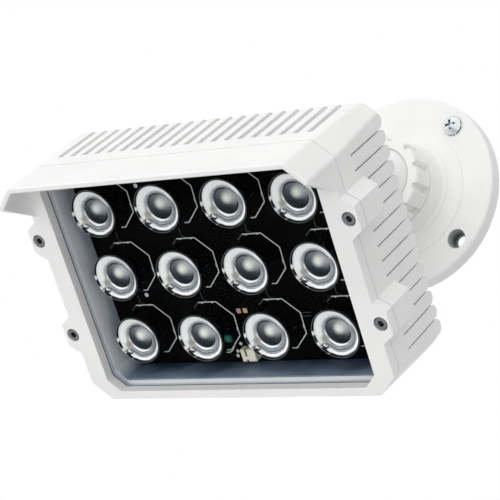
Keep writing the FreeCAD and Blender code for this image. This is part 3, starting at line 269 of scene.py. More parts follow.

# Painted shade on the inside walls, darker towards the board, and slate blue on the long walls as a painted
# reflection of the dark board.
material, tree, shader, tone = enamelMaterial("white powder coat, painted shade inside")
inHead = headPlace(tree)
axes = addNode(tree, "ShaderNodeSeparateXYZ", links={0: inHead})
inside = None
for axis, limit in (("X", "halfWidth"), ("Z", "halfHeight"), ("Y", "depth")):
    value = axes.outputs[axis]
    if axis != "Y":
        value = addNode(tree, "ShaderNodeMath", links={0: value}, operation="ABSOLUTE").outputs[0]
    within = addNode(tree, "ShaderNodeMath", {1: insidePaintedShade[limit]}, {0: value},
                     operation="LESS_THAN").outputs[0]
    if inside is None:
        inside = within
    else:
        inside = addNode(tree, "ShaderNodeMath", links={0: inside, 1: within},
                         operation="MULTIPLY").outputs[0]
streaks = addNode(tree, "ShaderNodeTexNoise", {"Scale": 1 / insidePaintedShade["streak"], "Detail": 2.0},
                  {"Vector": inHead})
wander = addNode(tree, "ShaderNodeMapRange", {
    "From Min": insidePaintedShade["streakStart"], "From Max": insidePaintedShade["streakEnd"],
    "To Min": -insidePaintedShade["streakReach"], "To Max": insidePaintedShade["streakReach"]},
    {"Value": streaks.outputs[0]})
depth = addNode(tree, "ShaderNodeMath", links={0: axes.outputs["Y"], 1: wander.outputs[0]},
                operation="ADD")
depth = addNode(tree, "ShaderNodeMapRange", {
    "From Min": insidePaintedShade["fadeStart"], "From Max": insidePaintedShade["fadeEnd"]}, {"Value": depth.outputs[0]})
sideWall = addNode(tree, "ShaderNodeValToRGB", links={"Fac": depth.outputs[0]})
fillRamp(sideWall.color_ramp, [(0.0, insidePaintedShade["sideFront"]), (0.5, insidePaintedShade["sideMiddle"]),
                               (1.0, insidePaintedShade["sideBack"])])
longWall = addNode(tree, "ShaderNodeValToRGB", links={"Fac": depth.outputs[0]})
fillRamp(longWall.color_ramp, [(0.0, insidePaintedShade["longFront"]), (1.0, insidePaintedShade["longBack"])])
height = addNode(tree, "ShaderNodeMath", links={0: axes.outputs["Z"]}, operation="ABSOLUTE")
onLong = addNode(tree, "ShaderNodeMapRange", {
    "From Min": insidePaintedShade["longStart"], "From Max": insidePaintedShade["halfHeight"]},
    {"Value": height.outputs[0]}, interpolation_type="SMOOTHSTEP")
grey = addNode(tree, "ShaderNodeMix", links={"Factor": onLong.outputs[0], 6: sideWall.outputs[0],
                                             7: longWall.outputs[0]}, data_type="RGBA")
colour = addNode(tree, "ShaderNodeMix", links={"Factor": inside, 6: tone.outputs[0],
                                               7: grey.outputs[2]}, data_type="RGBA")
tree.links.new(colour.outputs[2], shader.inputs["Base Color"])
materials["housing enamel"] = material

# The four bolt holes are folded onto one, turned to the square and seen along the plate's axis.
material, tree, shader, tone = enamelMaterial("white powder coat, painted shade in the bolt holes")
place = addNode(tree, "ShaderNodeTexCoord")
turned = addNode(tree, "ShaderNodeMapping", {
    "Rotation": (0.0, math.radians(boltHoles["turn"]), 0.0), "Scale": (perMetre, perMetre, perMetre)},
    {"Vector": place.outputs["Object"]})
folded = addNode(tree, "ShaderNodeVectorMath", links={0: turned.outputs[0]}, operation="ABSOLUTE")
corner = boltHoles["circle"] * math.sqrt(0.5)
offset = addNode(tree, "ShaderNodeVectorMath", {1: (corner, 0.0, corner)}, {0: folded.outputs[0]},
                 operation="SUBTRACT")
offset = addNode(tree, "ShaderNodeVectorMath", {1: (1.0, 0.0, 1.0)}, {0: offset.outputs[0]},
                 operation="MULTIPLY")
reach = addNode(tree, "ShaderNodeVectorMath", links={0: offset.outputs[0]}, operation="LENGTH")
inHole = addNode(tree, "ShaderNodeMath", {1: boltHoles["mouth"]}, {0: reach.outputs["Value"]},
                 operation="LESS_THAN")
share = addNode(tree, "ShaderNodeMapRange", {"From Max": boltHoles["mouth"]},
                {"Value": reach.outputs["Value"]})
# painted shade: near black in the bore, dark grey at its top, lighter grey up the funnel to the mouth
coat = addNode(tree, "ShaderNodeValToRGB", links={"Fac": share.outputs[0]})
throat = boltHoles["bore"] / boltHoles["mouth"]
fillRamp(coat.color_ramp, [(throat, boltHoles["boreColour"]),
                           (throat + boltHoles["throatEdge"], boltHoles["throatColour"]),
                           (1.0, boltHoles["mouthColour"])])
colour = addNode(tree, "ShaderNodeMix", links={"Factor": inHole.outputs[0], 6: tone.outputs[0],
                                               7: coat.outputs[0]}, data_type="RGBA")
tree.links.new(colour.outputs[2], shader.inputs["Base Color"])
materials["plate enamel"] = material

# Clear float glass: nearly unseen straight on, with a thin sheen.
floatGlass = {"colour": "#050708", "roughness": 0.03, "opacity": 0.02, "index": 1.52}
materials["window glass"] = newMaterial("clear float glass", {
    "Base Color": hexToLinear(floatGlass["colour"]), "Roughness": floatGlass["roughness"],
    "Alpha": floatGlass["opacity"], "IOR": floatGlass["index"]})[0]

# Moulded rubber: dull and very dark. The window frame's rear part, which shows inside the housing, is
# painted pale like the inside walls: painted light on black rubber.
rubber = {
    "colour": "#161617",
    "backPaintedLight": "#E2E9F0",
    "backStart": -2.35,  # mm behind the lens faces
    "roughness": 0.75,
    "grain": 0.6,  # mm
    "relief": 0.2,
}
material, tree, shader = newMaterial("moulded rubber", {"Roughness": rubber["roughness"]})
inHead = headPlace(tree)
axes = addNode(tree, "ShaderNodeSeparateXYZ", links={0: inHead})
grain = addNode(tree, "ShaderNodeTexNoise", {"Scale": 1 / rubber["grain"]}, {"Vector": inHead})
bump = addNode(tree, "ShaderNodeBump", {"Strength": rubber["relief"], "Distance": markHeight},
               {"Height": grain.outputs[0]})
# the rear part, behind this depth, gets the painted pale light
behind = addNode(tree, "ShaderNodeMath", {1: rubber["backStart"]}, {0: axes.outputs["Y"]},
                 operation="GREATER_THAN")
colour = addNode(tree, "ShaderNodeMix", {
    6: hexToLinear(rubber["colour"]), 7: hexToLinear(rubber["backPaintedLight"])},
    {"Factor": behind.outputs[0]}, data_type="RGBA")
tree.links.new(colour.outputs[2], shader.inputs["Base Color"])
tree.links.new(bump.outputs[0], shader.inputs["Normal"])
materials["window rubber"] = material

# Black solder mask over copper: nearly black and dull, with the faint relief of the tracks.
boardMask = {
    "colour": "#010101",
    "track": "#030404",
    "roughness": 0.5,
    "shine": 0.04,
    "weave": 9.0,  # mm across a copper area
    "trackStart": 0.35,
    "trackEnd": 0.6,
}
material, tree, shader = newMaterial("black solder mask", {
    "Roughness": boardMask["roughness"], "Specular IOR Level": boardMask["shine"]})
place = addNode(tree, "ShaderNodeTexCoord")
areas = addNode(tree, "ShaderNodeTexVoronoi", {"Scale": perMetre / boardMask["weave"]},
                {"Vector": place.outputs["Object"]}, distance="CHEBYCHEV")
tone = addNode(tree, "ShaderNodeValToRGB", links={"Fac": areas.outputs["Distance"]})
fillRamp(tone.color_ramp, [(boardMask["trackStart"], boardMask["colour"]),
                           (boardMask["trackEnd"], boardMask["track"])])
tree.links.new(tone.outputs[0], shader.inputs["Base Color"])
materials["black board"] = material

metal = {
    "smoother": 0.08,  # what the marks take off the roughness, or add to it, at most
    "rougher": 0.12,
    "shadeReach": 1.2,  # mm; narrower recesses are in shade
    "shadeStart": 0.45,  # how open a place is, from full shade to none
    "shadeEnd": 0.8,
}


def metalMaterial(name, colour, roughness, grit, depthOfMarks, shade="#2A2C2E"):
    # grit is the width in mm of one turning or rolling mark; shade is the colour down in recesses
    material, tree, shader = newMaterial(name, {"Metallic": 1.0, "Roughness": roughness})
    place = addNode(tree, "ShaderNodeTexCoord")
    marks = addNode(tree, "ShaderNodeTexNoise", {"Scale": perMetre / grit, "Detail": 3.0},
                    {"Vector": place.outputs["Object"]})
    spread = addNode(tree, "ShaderNodeMapRange", {
        "To Min": roughness - metal["smoother"], "To Max": roughness + metal["rougher"]},
        {"Value": marks.outputs[0]})
    bump = addNode(tree, "ShaderNodeBump", {"Strength": depthOfMarks, "Distance": markHeight},
                   {"Height": marks.outputs[0]})
    recess = addNode(tree, "ShaderNodeAmbientOcclusion", {"Distance": metal["shadeReach"] * mm},
                     samples=recessSamples, only_local=True)
    openness = addNode(tree, "ShaderNodeMapRange", {
        "From Min": metal["shadeStart"], "From Max": metal["shadeEnd"]},
        {"Value": recess.outputs["AO"]}, interpolation_type="SMOOTHSTEP")
    tone = addNode(tree, "ShaderNodeMix", {6: hexToLinear(shade), 7: hexToLinear(colour)},
                   {"Factor": openness.outputs[0]}, data_type="RGBA")
    tree.links.new(tone.outputs[2], shader.inputs["Base Color"])
    tree.links.new(spread.outputs[0], shader.inputs["Roughness"])
    tree.links.new(bump.outputs[0], shader.inputs["Normal"])
    return material


# Bright zinc plate on steel: pale, slightly clouded metal.
materials["zinc screw"] = metalMaterial("bright zinc plate", "#E6EAEC", 0.26, 2.2, 0.05, shade="#6A7073")
# Stainless cap screws: a darker grey metal with a turned face.
materials["dark screw"] = metalMaterial("stainless steel screw", "#8E9092", 0.2, 0.8, 0.1, shade="#101112")
# Mill-finish aluminium sheet: pale grey, softly brushed.
materials["bare aluminium"] = metalMaterial("mill finish aluminium", "#C6C8CA", 0.38, 0.9, 0.15)
# Capacitor cans: thin bright drawn aluminium.
materials["can aluminium"] = metalMaterial("drawn aluminium can", "#CFD1D4", 0.28, 2.0, 0.1)
# Gold-flashed brass pins: warm yellow, bright.
materials["gold pin"] = metalMaterial("gold flash on brass", "#D9B565", 0.25, 1.0, 0.1)

slotReach = 1.5 * mm  # narrower slots in plastic are in shade


def plasticMaterial(name, colour, roughness, grain, relief, shade=None):
    # grain is the size in mm of the mould's texture; shade is the colour down in slots, where there are any
    material, tree, shader = newMaterial(name, {"Base Color": hexToLinear(colour), "Roughness": roughness})
    place = addNode(tree, "ShaderNodeTexCoord")
    texture = addNode(tree, "ShaderNodeTexNoise", {"Scale": perMetre / grain, "Detail": 2.0},
                      {"Vector": place.outputs["Object"]})
    bump = addNode(tree, "ShaderNodeBump", {"Strength": relief, "Distance": markHeight},
                   {"Height": texture.outputs[0]})
    tree.links.new(bump.outputs[0], shader.inputs["Normal"])
    if shade:
        recess = addNode(tree, "ShaderNodeAmbientOcclusion", {"Distance": slotReach},
                         samples=recessSamples, only_local=True)
        tone = addNode(tree, "ShaderNodeMix", {6: hexToLinear(shade), 7: hexToLinear(colour)},
                       {"Factor": recess.outputs["AO"]}, data_type="RGBA")
        tree.links.new(tone.outputs[2], shader.inputs["Base Color"])
    return material


# Natural nylon of the board socket and the spacers: cream, slightly waxy, with painted shade in its slits.
materials["white nylon"] = plasticMaterial("natural nylon", "#FDFBE6", 0.42, 0.7, 0.1, shade="#1E1D14")
# Moulded polyamide of the gland and the ball's seat: light grey and matt.
materials["grey nylon"] = plasticMaterial("grey polyamide", "#DADBDC", 0.5, 0.8, 0.2)
# Gland seal: plain black rubber.
materials["black rubber"] = plasticMaterial("nitrile rubber", rubber["colour"], rubber["roughness"],
                                            rubber["grain"], rubber["relief"])
# Moulded phenolic of the choke: black, with a dull shine.
materials["black plastic"] = plasticMaterial("black phenolic", "#151515", 0.45, 0.8, 0.2)
# Moulded polyamide of the terminal block: mid green, with a dull shine.
materials["green plastic"] = plasticMaterial("green polyamide", "#1F7A3C", 0.4, 0.8, 0.15)
# Infrared emitter: a chip under dark silicone, nearly black to the eye.
materials["emitter"] = plasticMaterial("emitter under dark silicone", "#0C0C0D", 0.3, 1.0, 0.05)

# Photocell: dark green epoxy with a wet gloss, brighter over its chip.
photocell = {
    "middle": (-11.0, 10.4, -35.6),  # mm in the head
    "chip": "#3FB0A4",
    "edge": "#06201F",
    "chipRadius": 2.5,  # mm
    "chipFade": 2.0,
    "roughness": 0.15,
    "shine": 0.2,
}
material, tree, shader = newMaterial("green epoxy lens", {
    "Roughness": photocell["roughness"], "Specular IOR Level": photocell["shine"]})
overChip = softSpot(tree, headPlace(tree), photocell["middle"], photocell["chipRadius"],
                    photocell["chipFade"])
tone = addNode(tree, "ShaderNodeMix", {
    6: hexToLinear(photocell["edge"]), 7: hexToLinear(photocell["chip"])},
    {"Factor": overChip}, data_type="RGBA")
tree.links.new(tone.outputs[2], shader.inputs["Base Color"])
materials["green glass"] = material

emitterCount = 12
finishes = {
    "white enamel": ["locking_ring", "ball", "arm", "front_cover"],
    "plate enamel": ["wall_plate"],
    "housing enamel": ["rear_housing"],
    "zinc screw": ["wall_screw", "arm_screws", "driver_screws"],
    "dark screw": ["cover_screws", "board_screws"],
    "window glass": ["window_glass"],
    "window rubber": ["window_gasket"],
    "black rubber": ["gland_seal"],
    "bare aluminium": ["carrier_plate"],
    "black board": ["led_board", "driver_board"],
    "green glass": ["photocell"],
    "white nylon": ["board_socket", "driver_spacers"],
    "grey nylon": ["gland_body", "gland_nut", "gland_locknut", "ball_seat"],
    "black plastic": ["choke"],
    "can aluminium": ["capacitors"],
    "green plastic": ["terminal_block"],
    "gold pin": ["link_pins"],
    "emitter": ["led_%d" % (index + 1) for index in range(emitterCount)],
}
for finish, members in finishes.items():
    for member in members:
        for slot in nodes[member].material_slots:
            slot.material = materials[finish]
print("materials ready:", len(bpy.data.materials))

# Lenses. Each is one clear moulding: a flange, a dish that mirrors what lies behind it,
# and a bead in its middle.

lens = {
    "rows": 3,
    "columns": 4,
    "pitchX": 33.0,
    "pitchZ": 29.7,
    "segments": 72,
    # profiles are (radius, height over the lens face), in mm
    "flange": [(9.8, -1.7), (10.7, -1.7), (10.8, -1.6), (10.8, -0.1), (10.72, 0.0), (10.62, -0.02),
               (10.55, -0.1), (10.15, -0.12), (10.08, -0.2), (10.05, -0.85)],
    "dish": [(10.05, -0.85), (9.9, -0.95), (9.3, -1.14), (8.4, -1.46), (7.5, -1.84), (6.6, -2.25),
             (5.75, -2.65)],
    "bead": [(5.75, -2.65), (5.3, -2.36), (4.5, -1.94), (3.5, -1.56), (2.4, -1.28), (1.2, -1.13),
             (0.0, -1.08)],
    "body": [(9.8, -1.7), (9.2, -3.3), (8.4, -5.4), (7.4, -7.6), (6.1, -9.7), (4.4, -11.6), (2.7, -11.6)],
    "legs": 3,
    "legSegments": 20,
    "legCircle": 9.3,
    "legRadius": 0.8,
    "legTop": -1.6,
    "legFoot": -12.6,
}
# What the moulding mirrors and bends, drawn on it. Places are mm across the face.
lensLook = {
    # clear flange, from the axis outwards: painted dark where the board shows through, a painted highlight
    # near the outer edge, painted glints and painted highlights
    "edgeRoughness": 0.12,
    "edgeShine": 0.15,
    "edge": [(0.0, "#07090B"), (0.972, "#07090B"), (0.981, "#6B7176"), (0.993, "#6B7176"),
             (0.997, "#07090B"), (1.0, "#07090B")],
    "edgeGlints": {"colour": "#D3D9DE", "middle": (-7.5, -6.2, 0.0), "radius": 4.2, "start": 0.56},
    # spots: colour, middle, radius, softness
    "edgeHighlights": [("#FFFFFF", (-10.4, 0.6, 0.0), 1.5, 1.3), ("#FFFFFF", (-9.3, -4.4, 0.0), 1.5, 1.3)],
    # mirroring dish, painted reflection bands from the bead outwards, on its upper and its lower side
    "dishMetal": 0.5,
    "dishRoughness": 0.3,
    "dishSkin": 0.15,
    "dishSkinRoughness": 0.1,
    "dishInner": 5.75,
    "dishOuter": 10.05,
    "upper": [(0.0, "#4E555C"), (0.05, "#767C82"), (0.2, "#A0A4A8"), (0.32, "#CCCFD2"),
              (0.44, "#EFF4F5"), (0.74, "#FBFFFF"), (0.9, "#E8EDF0"), (1.0, "#FBFFFF")],
    "lower": [(0.0, "#B4B8BA"), (0.13, "#A3A8AB"), (0.24, "#7A8187"), (0.36, "#9AA1A7"),
              (0.47, "#343A3F"), (0.56, "#858D93"), (0.68, "#9CA4AB"), (0.76, "#FAFAF9"),
              (0.9, "#FFFFFF"), (1.0, "#777D82")],
    "lowerSide": (0.42, -0.91, 0.0),
    "lowerStart": -0.25,
    "lowerFull": 0.4,
    "wander": 3.5,  # mm across one swelling of the bands
    "wanderReach": 0.45,
    # painted white highlight, a crescent along the bead
    "crescent": (-0.6, -0.8, 0.0),
    "crescentColour": "#FFFFFF",
    "crescentStart": 0.3,
    "crescentFull": 0.9,
    "crescentWidth": 0.2,
    "crescentCore": 0.1,
    # fine rings of lighter and darker painted reflection, drawn coarser than real turning marks so that they
    # show; the lightest go past white
    "streak": 0.42,  # mm across one ring
    "streakTurns": 1.6,
    "streakStart": 0.32,
    "streakEnd": 0.62,
    "darkRing": 1.0,
    "lightRing": 1.55,
    # the painted speckles below are this many mm across
    "grain": 1.0,  # mm
    "speckleEdge": 0.07,
    "dishDarkSpeckles": {"colour": "#11161C", "middle": (-7.5, -6.2, 0.0), "radius": 2.3, "start": 0.44},
    "dishReflections": [("#A3A399", (-6.8, -2.8, 0.0), 3.0, 2.8), ("#FFFFFF", (-8.9, -3.2, 0.0), 1.4, 0.9),
                  ("#FFFFFF", (-5.3, -7.9, 0.0), 1.4, 0.9)],
    # bead over the emitter, painted shade from its lower to its upper edge, with haze, a painted highlight
    # and a painted dark rim
    "beadRoughness": 0.3,
    "beadShine": 0.15,
    "beadIndex": 1.49,
    "beadRise": (0.45, 0.89, 0.0),
    "bead": [(0.0, "#0A131B"), (0.3, "#16212A"), (0.5, "#3C464E"), (0.75, "#676F76"), (1.0, "#858B91")],
    "beadHighlights": [("#BCBBC1", (4.4, 2.6, 0.0), 5.0, 4.6), ("#EDF3EA", (1.5, 1.8, 0.0), 3.3, 3.0)],
    "rim": "#161D23",
    "rimStart": 5.1,
    "rimFull": 5.6,
    "rimGap": ((4.4, 2.6, 0.0), 5.5, 3.0),  # middle, radius, softness
}


def lensPlace(tree):
    # the shaded point across one lens in mm, and its distance from the axis
    place = addNode(tree, "ShaderNodeTexCoord")
    flat = addNode(tree, "ShaderNodeVectorMath", {1: (perMetre, perMetre, 0.0)},
                   {0: place.outputs["Object"]}, operation="MULTIPLY").outputs[0]
    radius = addNode(tree, "ShaderNodeVectorMath", links={0: flat}, operation="LENGTH").outputs["Value"]
    return flat, radius


def laySpeckles(tree, tone, flat, speckles):
    # painted speckles of reflected light or dark, gathered round one place and laid over a tone
    noise = addNode(tree, "ShaderNodeTexNoise", {"Scale": 1 / lensLook["grain"], "Detail": 1.0},
                    {"Vector": flat})
    share = addNode(tree, "ShaderNodeMapRange", {
        "From Min": speckles["start"], "From Max": speckles["start"] + lensLook["speckleEdge"]},
        {"Value": noise.outputs[0]})
    gathered = softSpot(tree, flat, speckles["middle"], speckles["radius"], speckles["radius"] / 2)
    share = addNode(tree, "ShaderNodeMath", links={0: share.outputs[0], 1: gathered},
                    operation="MULTIPLY")
    return addNode(tree, "ShaderNodeMix", {7: hexToLinear(speckles["colour"])},
                   {"Factor": share.outputs[0], 6: tone}, data_type="RGBA").outputs[2]


def laySpots(tree, tone, flat, spots):
    # soft round spots of colour, laid over a tone one after another
    for spotColour, middle, radius, softness in spots:
        share = softSpot(tree, flat, middle, radius, softness)
        tone = addNode(tree, "ShaderNodeMix", {7: hexToLinear(spotColour)},
                       {"Factor": share, 6: tone}, data_type="RGBA").outputs[2]
    return tone


# Clear acrylic flange and body, painted dark where the board shows through, with a painted highlight along
# its thin outer edge and painted glints and highlights.
material, tree, shader = newMaterial("clear acrylic edge", {
    "Roughness": lensLook["edgeRoughness"], "Specular IOR Level": lensLook["edgeShine"]})
flat, radius = lensPlace(tree)
outerRadius = max(ring[0] for ring in lens["flange"])
share = addNode(tree, "ShaderNodeMapRange", {"From Max": outerRadius}, {"Value": radius})
edge = addNode(tree, "ShaderNodeValToRGB", links={"Fac": share.outputs[0]})
fillRamp(edge.color_ramp, lensLook["edge"])
tone = laySpeckles(tree, edge.outputs[0], flat, lensLook["edgeGlints"])
tone = laySpots(tree, tone, flat, lensLook["edgeHighlights"])
tree.links.new(tone, shader.inputs["Base Color"])
materials["lens edge"] = material

# The dish mirrors like chrome; its bands of light and grey, with fine rings round them, are painted
# reflections. It gathers light from the whole front, so its painted bands are brighter than paint would be.
material, tree, shader = newMaterial("mirroring acrylic dish", {
    "Metallic": lensLook["dishMetal"], "Roughness": lensLook["dishRoughness"],
    "Coat Weight": lensLook["dishSkin"], "Coat Roughness": lensLook["dishSkinRoughness"]})
flat, radius = lensPlace(tree)
outward = addNode(tree, "ShaderNodeVectorMath", links={0: flat}, operation="NORMALIZE").outputs[0]
bands = addNode(tree, "ShaderNodeTexNoise", {"Scale": 1 / lensLook["wander"], "Detail": 1.0},
                {"Vector": flat})
wobble = addNode(tree, "ShaderNodeMapRange", {
    "To Min": -lensLook["wanderReach"], "To Max": lensLook["wanderReach"]}, {"Value": bands.outputs[0]})
ringPlace = addNode(tree, "ShaderNodeMath", links={0: radius, 1: wobble.outputs[0]}, operation="ADD")
ringPlace = addNode(tree, "ShaderNodeMapRange", {
    "From Min": lensLook["dishInner"], "From Max": lensLook["dishOuter"]},
    {"Value": ringPlace.outputs[0]})
upper = addNode(tree, "ShaderNodeValToRGB", links={"Fac": ringPlace.outputs[0]})
fillRamp(upper.color_ramp, lensLook["upper"])
lower = addNode(tree, "ShaderNodeValToRGB", links={"Fac": ringPlace.outputs[0]})
fillRamp(lower.color_ramp, lensLook["lower"])
lean = addNode(tree, "ShaderNodeVectorMath", {1: lensLook["lowerSide"]}, {0: outward},
               operation="DOT_PRODUCT")
lean = addNode(tree, "ShaderNodeMapRange", {
    "From Min": lensLook["lowerStart"], "From Max": lensLook["lowerFull"]},
    {"Value": lean.outputs["Value"]}, interpolation_type="SMOOTHSTEP")
tone = addNode(tree, "ShaderNodeMix", links={"Factor": lean.outputs[0], 6: upper.outputs[0],
                                             7: lower.outputs[0]}, data_type="RGBA")
turned = addNode(tree, "ShaderNodeVectorMath", {1: lensLook["crescent"]}, {0: outward},
                 operation="DOT_PRODUCT")
turned = addNode(tree, "ShaderNodeMapRange", {
    "From Min": lensLook["crescentStart"], "From Max": lensLook["crescentFull"]},
    {"Value": turned.outputs["Value"]}, interpolation_type="SMOOTHSTEP")
nearBead = addNode(tree, "ShaderNodeMapRange", {
    "From Min": lensLook["crescentWidth"], "From Max": lensLook["crescentCore"]},
    {"Value": ringPlace.outputs[0]})
crescent = addNode(tree, "ShaderNodeMath", links={0: turned.outputs[0], 1: nearBead.outputs[0]},
                   operation="MULTIPLY")
tone = addNode(tree, "ShaderNodeMix", {7: hexToLinear(lensLook["crescentColour"])},
               {"Factor": crescent.outputs[0], 6: tone.outputs[2]}, data_type="RGBA")
ringLine = addNode(tree, "ShaderNodeMath", {1: 1 / lensLook["streak"]}, {0: radius},
                   operation="MULTIPLY")
ringLine = addNode(tree, "ShaderNodeCombineXYZ", links={2: ringLine.outputs[0]})
ringLine = addNode(tree, "ShaderNodeVectorMath", {
    1: (lensLook["streakTurns"], lensLook["streakTurns"], 0.0)},
    {0: outward, 2: ringLine.outputs[0]}, operation="MULTIPLY_ADD")
rings = addNode(tree, "ShaderNodeTexNoise", {"Scale": 1.0, "Detail": 2.0},
                {"Vector": ringLine.outputs[0]})
light = addNode(tree, "ShaderNodeMapRange", {
    "From Min": lensLook["streakStart"], "From Max": lensLook["streakEnd"],
    "To Min": lensLook["darkRing"], "To Max": lensLook["lightRing"]}, {"Value": rings.outputs[0]})
tone = addNode(tree, "ShaderNodeVectorMath", links={0: tone.outputs[2], "Scale": light.outputs[0]},
               operation="SCALE").outputs[0]
# painted dark speckles and painted reflections laid over the bands
tone = laySpeckles(tree, tone, flat, lensLook["dishDarkSpeckles"])
tone = laySpots(tree, tone, flat, lensLook["dishReflections"])
tree.links.new(tone, shader.inputs["Base Color"])
materials["lens dish"] = material

# The bead magnifies the dark emitter below it: slate glass with painted shade, navy at its lower edge, with
# one soft painted highlight and a painted dark rim.
material, tree, shader = newMaterial("dark acrylic bead", {
    "Roughness": lensLook["beadRoughness"], "Specular IOR Level": lensLook["beadShine"],
    "IOR": lensLook["beadIndex"]})
flat, radius = lensPlace(tree)
rise = addNode(tree, "ShaderNodeVectorMath", {1: lensLook["beadRise"]}, {0: flat},
               operation="DOT_PRODUCT")
rise = addNode(tree, "ShaderNodeMapRange", {
    "From Min": -lensLook["dishInner"], "From Max": lensLook["dishInner"]},
    {"Value": rise.outputs["Value"]})
bead = addNode(tree, "ShaderNodeValToRGB", links={"Fac": rise.outputs[0]})
fillRamp(bead.color_ramp, lensLook["bead"])
tone = laySpots(tree, bead.outputs[0], flat, lensLook["beadHighlights"])
rim = addNode(tree, "ShaderNodeMapRange", {
    "From Min": lensLook["rimStart"], "From Max": lensLook["rimFull"]}, {"Value": radius},
    interpolation_type="SMOOTHSTEP")
clear = addNode(tree, "ShaderNodeMath", {0: 1.0}, {1: softSpot(tree, flat, *lensLook["rimGap"])},
                operation="SUBTRACT")
rim = addNode(tree, "ShaderNodeMath", links={0: rim.outputs[0], 1: clear.outputs[0]},
              operation="MULTIPLY")
tone = addNode(tree, "ShaderNodeMix", {7: hexToLinear(lensLook["rim"])},
               {"Factor": rim.outputs[0], 6: tone}, data_type="RGBA")
tree.links.new(tone.outputs[2], shader.inputs["Base Color"])
materials["lens bead"] = material


def turnProfile(mesh, profile, slotIndex, segments):
    # a profile of (radius, height) in mm turned about z; a point on the axis closes it
    rings = []
    for radius, height in profile:
        if radius == 0.0:
            rings.append([mesh.verts.new((0.0, 0.0, height * mm))])
            continue
        rings.append([mesh.verts.new((radius * math.cos(2 * math.pi * step / segments) * mm,
                                      radius * math.sin(2 * math.pi * step / segments) * mm,
                                      height * mm)) for step in range(segments)])
    for inner, outer in zip(rings, rings[1:]):
        for step in range(segments):
            following = (step + 1) % segments
            corners = [inner[step % len(inner)], inner[following % len(inner)],
                       outer[following % len(outer)], outer[step % len(outer)]]
            corners = [corner for index, corner in enumerate(corners) if corner not in corners[:index]]
            face = mesh.faces.new(corners)
            face.material_index = slotIndex
            face.smooth = True


lensMesh = bpy.data.meshes.new("lens")
for finish in ("lens edge", "lens dish", "lens bead"):
    lensMesh.materials.append(materials[finish])
mesh = bmesh.new()
for part, slotIndex in (("flange", 0), ("dish", 1), ("bead", 2), ("body", 0)):
    turnProfile(mesh, lens[part], slotIndex, lens["segments"])
legProfile = [(lens["legRadius"], lens["legTop"]), (lens["legRadius"], lens["legFoot"]),
              (0.0, lens["legFoot"])]
for leg in range(lens["legs"]):
    turn = math.radians(leg * 360 / lens["legs"])
    centre = Vector((lens["legCircle"] * math.cos(turn), lens["legCircle"] * math.sin(turn), 0)) * mm
    before = set(mesh.verts)
    turnProfile(mesh, legProfile, 0, lens["legSegments"])
    for vertex in mesh.verts:
        if vertex not in before:
            vertex.co += centre
bmesh.ops.recalc_face_normals(mesh, faces=mesh.faces)
mesh.to_mesh(lensMesh)
mesh.free()

lensGrid = []  # each lens's row and its place, x and z in mm in the head
for row in range(lens["rows"]):
    for column in range(lens["columns"]):
        lensGrid.append((row, (column - (lens["columns"] - 1) / 2) * lens["pitchX"],
                         ((lens["rows"] - 1) / 2 - row) * lens["pitchZ"]))
faceForward = Matrix.Rotation(math.radians(90), 4, "X")
turnToRow = tiltTurn @ faceForward
for index, (row, x, z) in enumerate(lensGrid):
    number = index + 1
    piece = bpy.data.objects.new("collimator_%d" % number, lensMesh)
    piece.matrix_world = Matrix.Translation(headToRow @ Vector((x, 0.0, z))) @ turnToRow
    scene.collection.objects.link(piece)
    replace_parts(piece, "lens_%d" % number)
    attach(piece, "head")
print("lenses ready")

# Marks printed and soldered on the lamp board, in mm from the middle of the lens grid or of one lens

boardMarks = {
    "front": 12.6,
    "rise": 0.05,
    "lineWidth": 0.44,
    "thinWidth": 0.3,
    "mitreLimit": 0.3,
    "outline": [[(-5.2, 10.5), (3.9, 10.5), (10.8, 3.8), (10.5, -5.7), (3.9, -12.2), (1.6, -12.2)]],
    "dimLines": [[(-8.1, 8.1), (-5.2, 10.5)]],
    "links": [[(-2.3, 15.4), (-2.3, 11.8), (0.6, 10.7)]],
    "pinPrint": [[(-3.6, 10.1), (-3.0, 10.1)], [(1.8, 10.1), (2.4, 10.1)], [(10.3, -1.6), (10.3, -3.4)]],
    "dots": [(-33.3, 35.6), (-47.0, -14.5)],
    "dotRadius": 1.0,
    "dotBulge": 0.25,
    "pads": {"copper": (-2.6, -23.9), "tinned copper": (0.65, -23.9)},
    "padSide": 2.1,
    "pairLines": [[(27.6, -25.9), (32.2, -25.9)], [(27.2, -27.5), (31.8, -27.5)]],
    "arc": [(-15.5, -43.1), (-13.9, -43.1), (-12.6, -42.5), (-11.5, -41.4), (-10.4, -40.1)],
    "solder": [(-9.6, -42.6), (-10.3, -44.8), (-6.9, -39.2), (-20.6, -42.2)],
    "dropRadius": 0.85,
    "dropBulge": 0.45,
    "dropSegments": 20,
    "dropRings": (1.0, 0.8, 0.45),  # shares of the radius
    "dropRound": 0.98,  # a full 1 would end in an upright edge
}


def ribbon(mesh, points, width, middle):
    # a flat printed line with mitred corners, on the board's front
    y = boardMarks["front"] - boardMarks["rise"]
    places = [Vector((x + middle[0], z + middle[1])) for x, z in points]
    sides = []
    for index, place in enumerate(places):
        directions = []
        if index > 0:
            directions.append((place - places[index - 1]).normalized())
        if index < len(places) - 1:
            directions.append((places[index + 1] - place).normalized())
        along = sum(directions, Vector((0, 0))).normalized()
        across = Vector((-along.y, along.x))
        reach = width / 2 / max(boardMarks["mitreLimit"], abs(along.dot(directions[0])))
        sides.append([mesh.verts.new(headToRow @ Vector((p.x, y, p.y)))
                      for p in (place + across * reach, place - across * reach)])
    for start, end in zip(sides, sides[1:]):
        mesh.faces.new((start[0], end[0], end[1], start[1]))


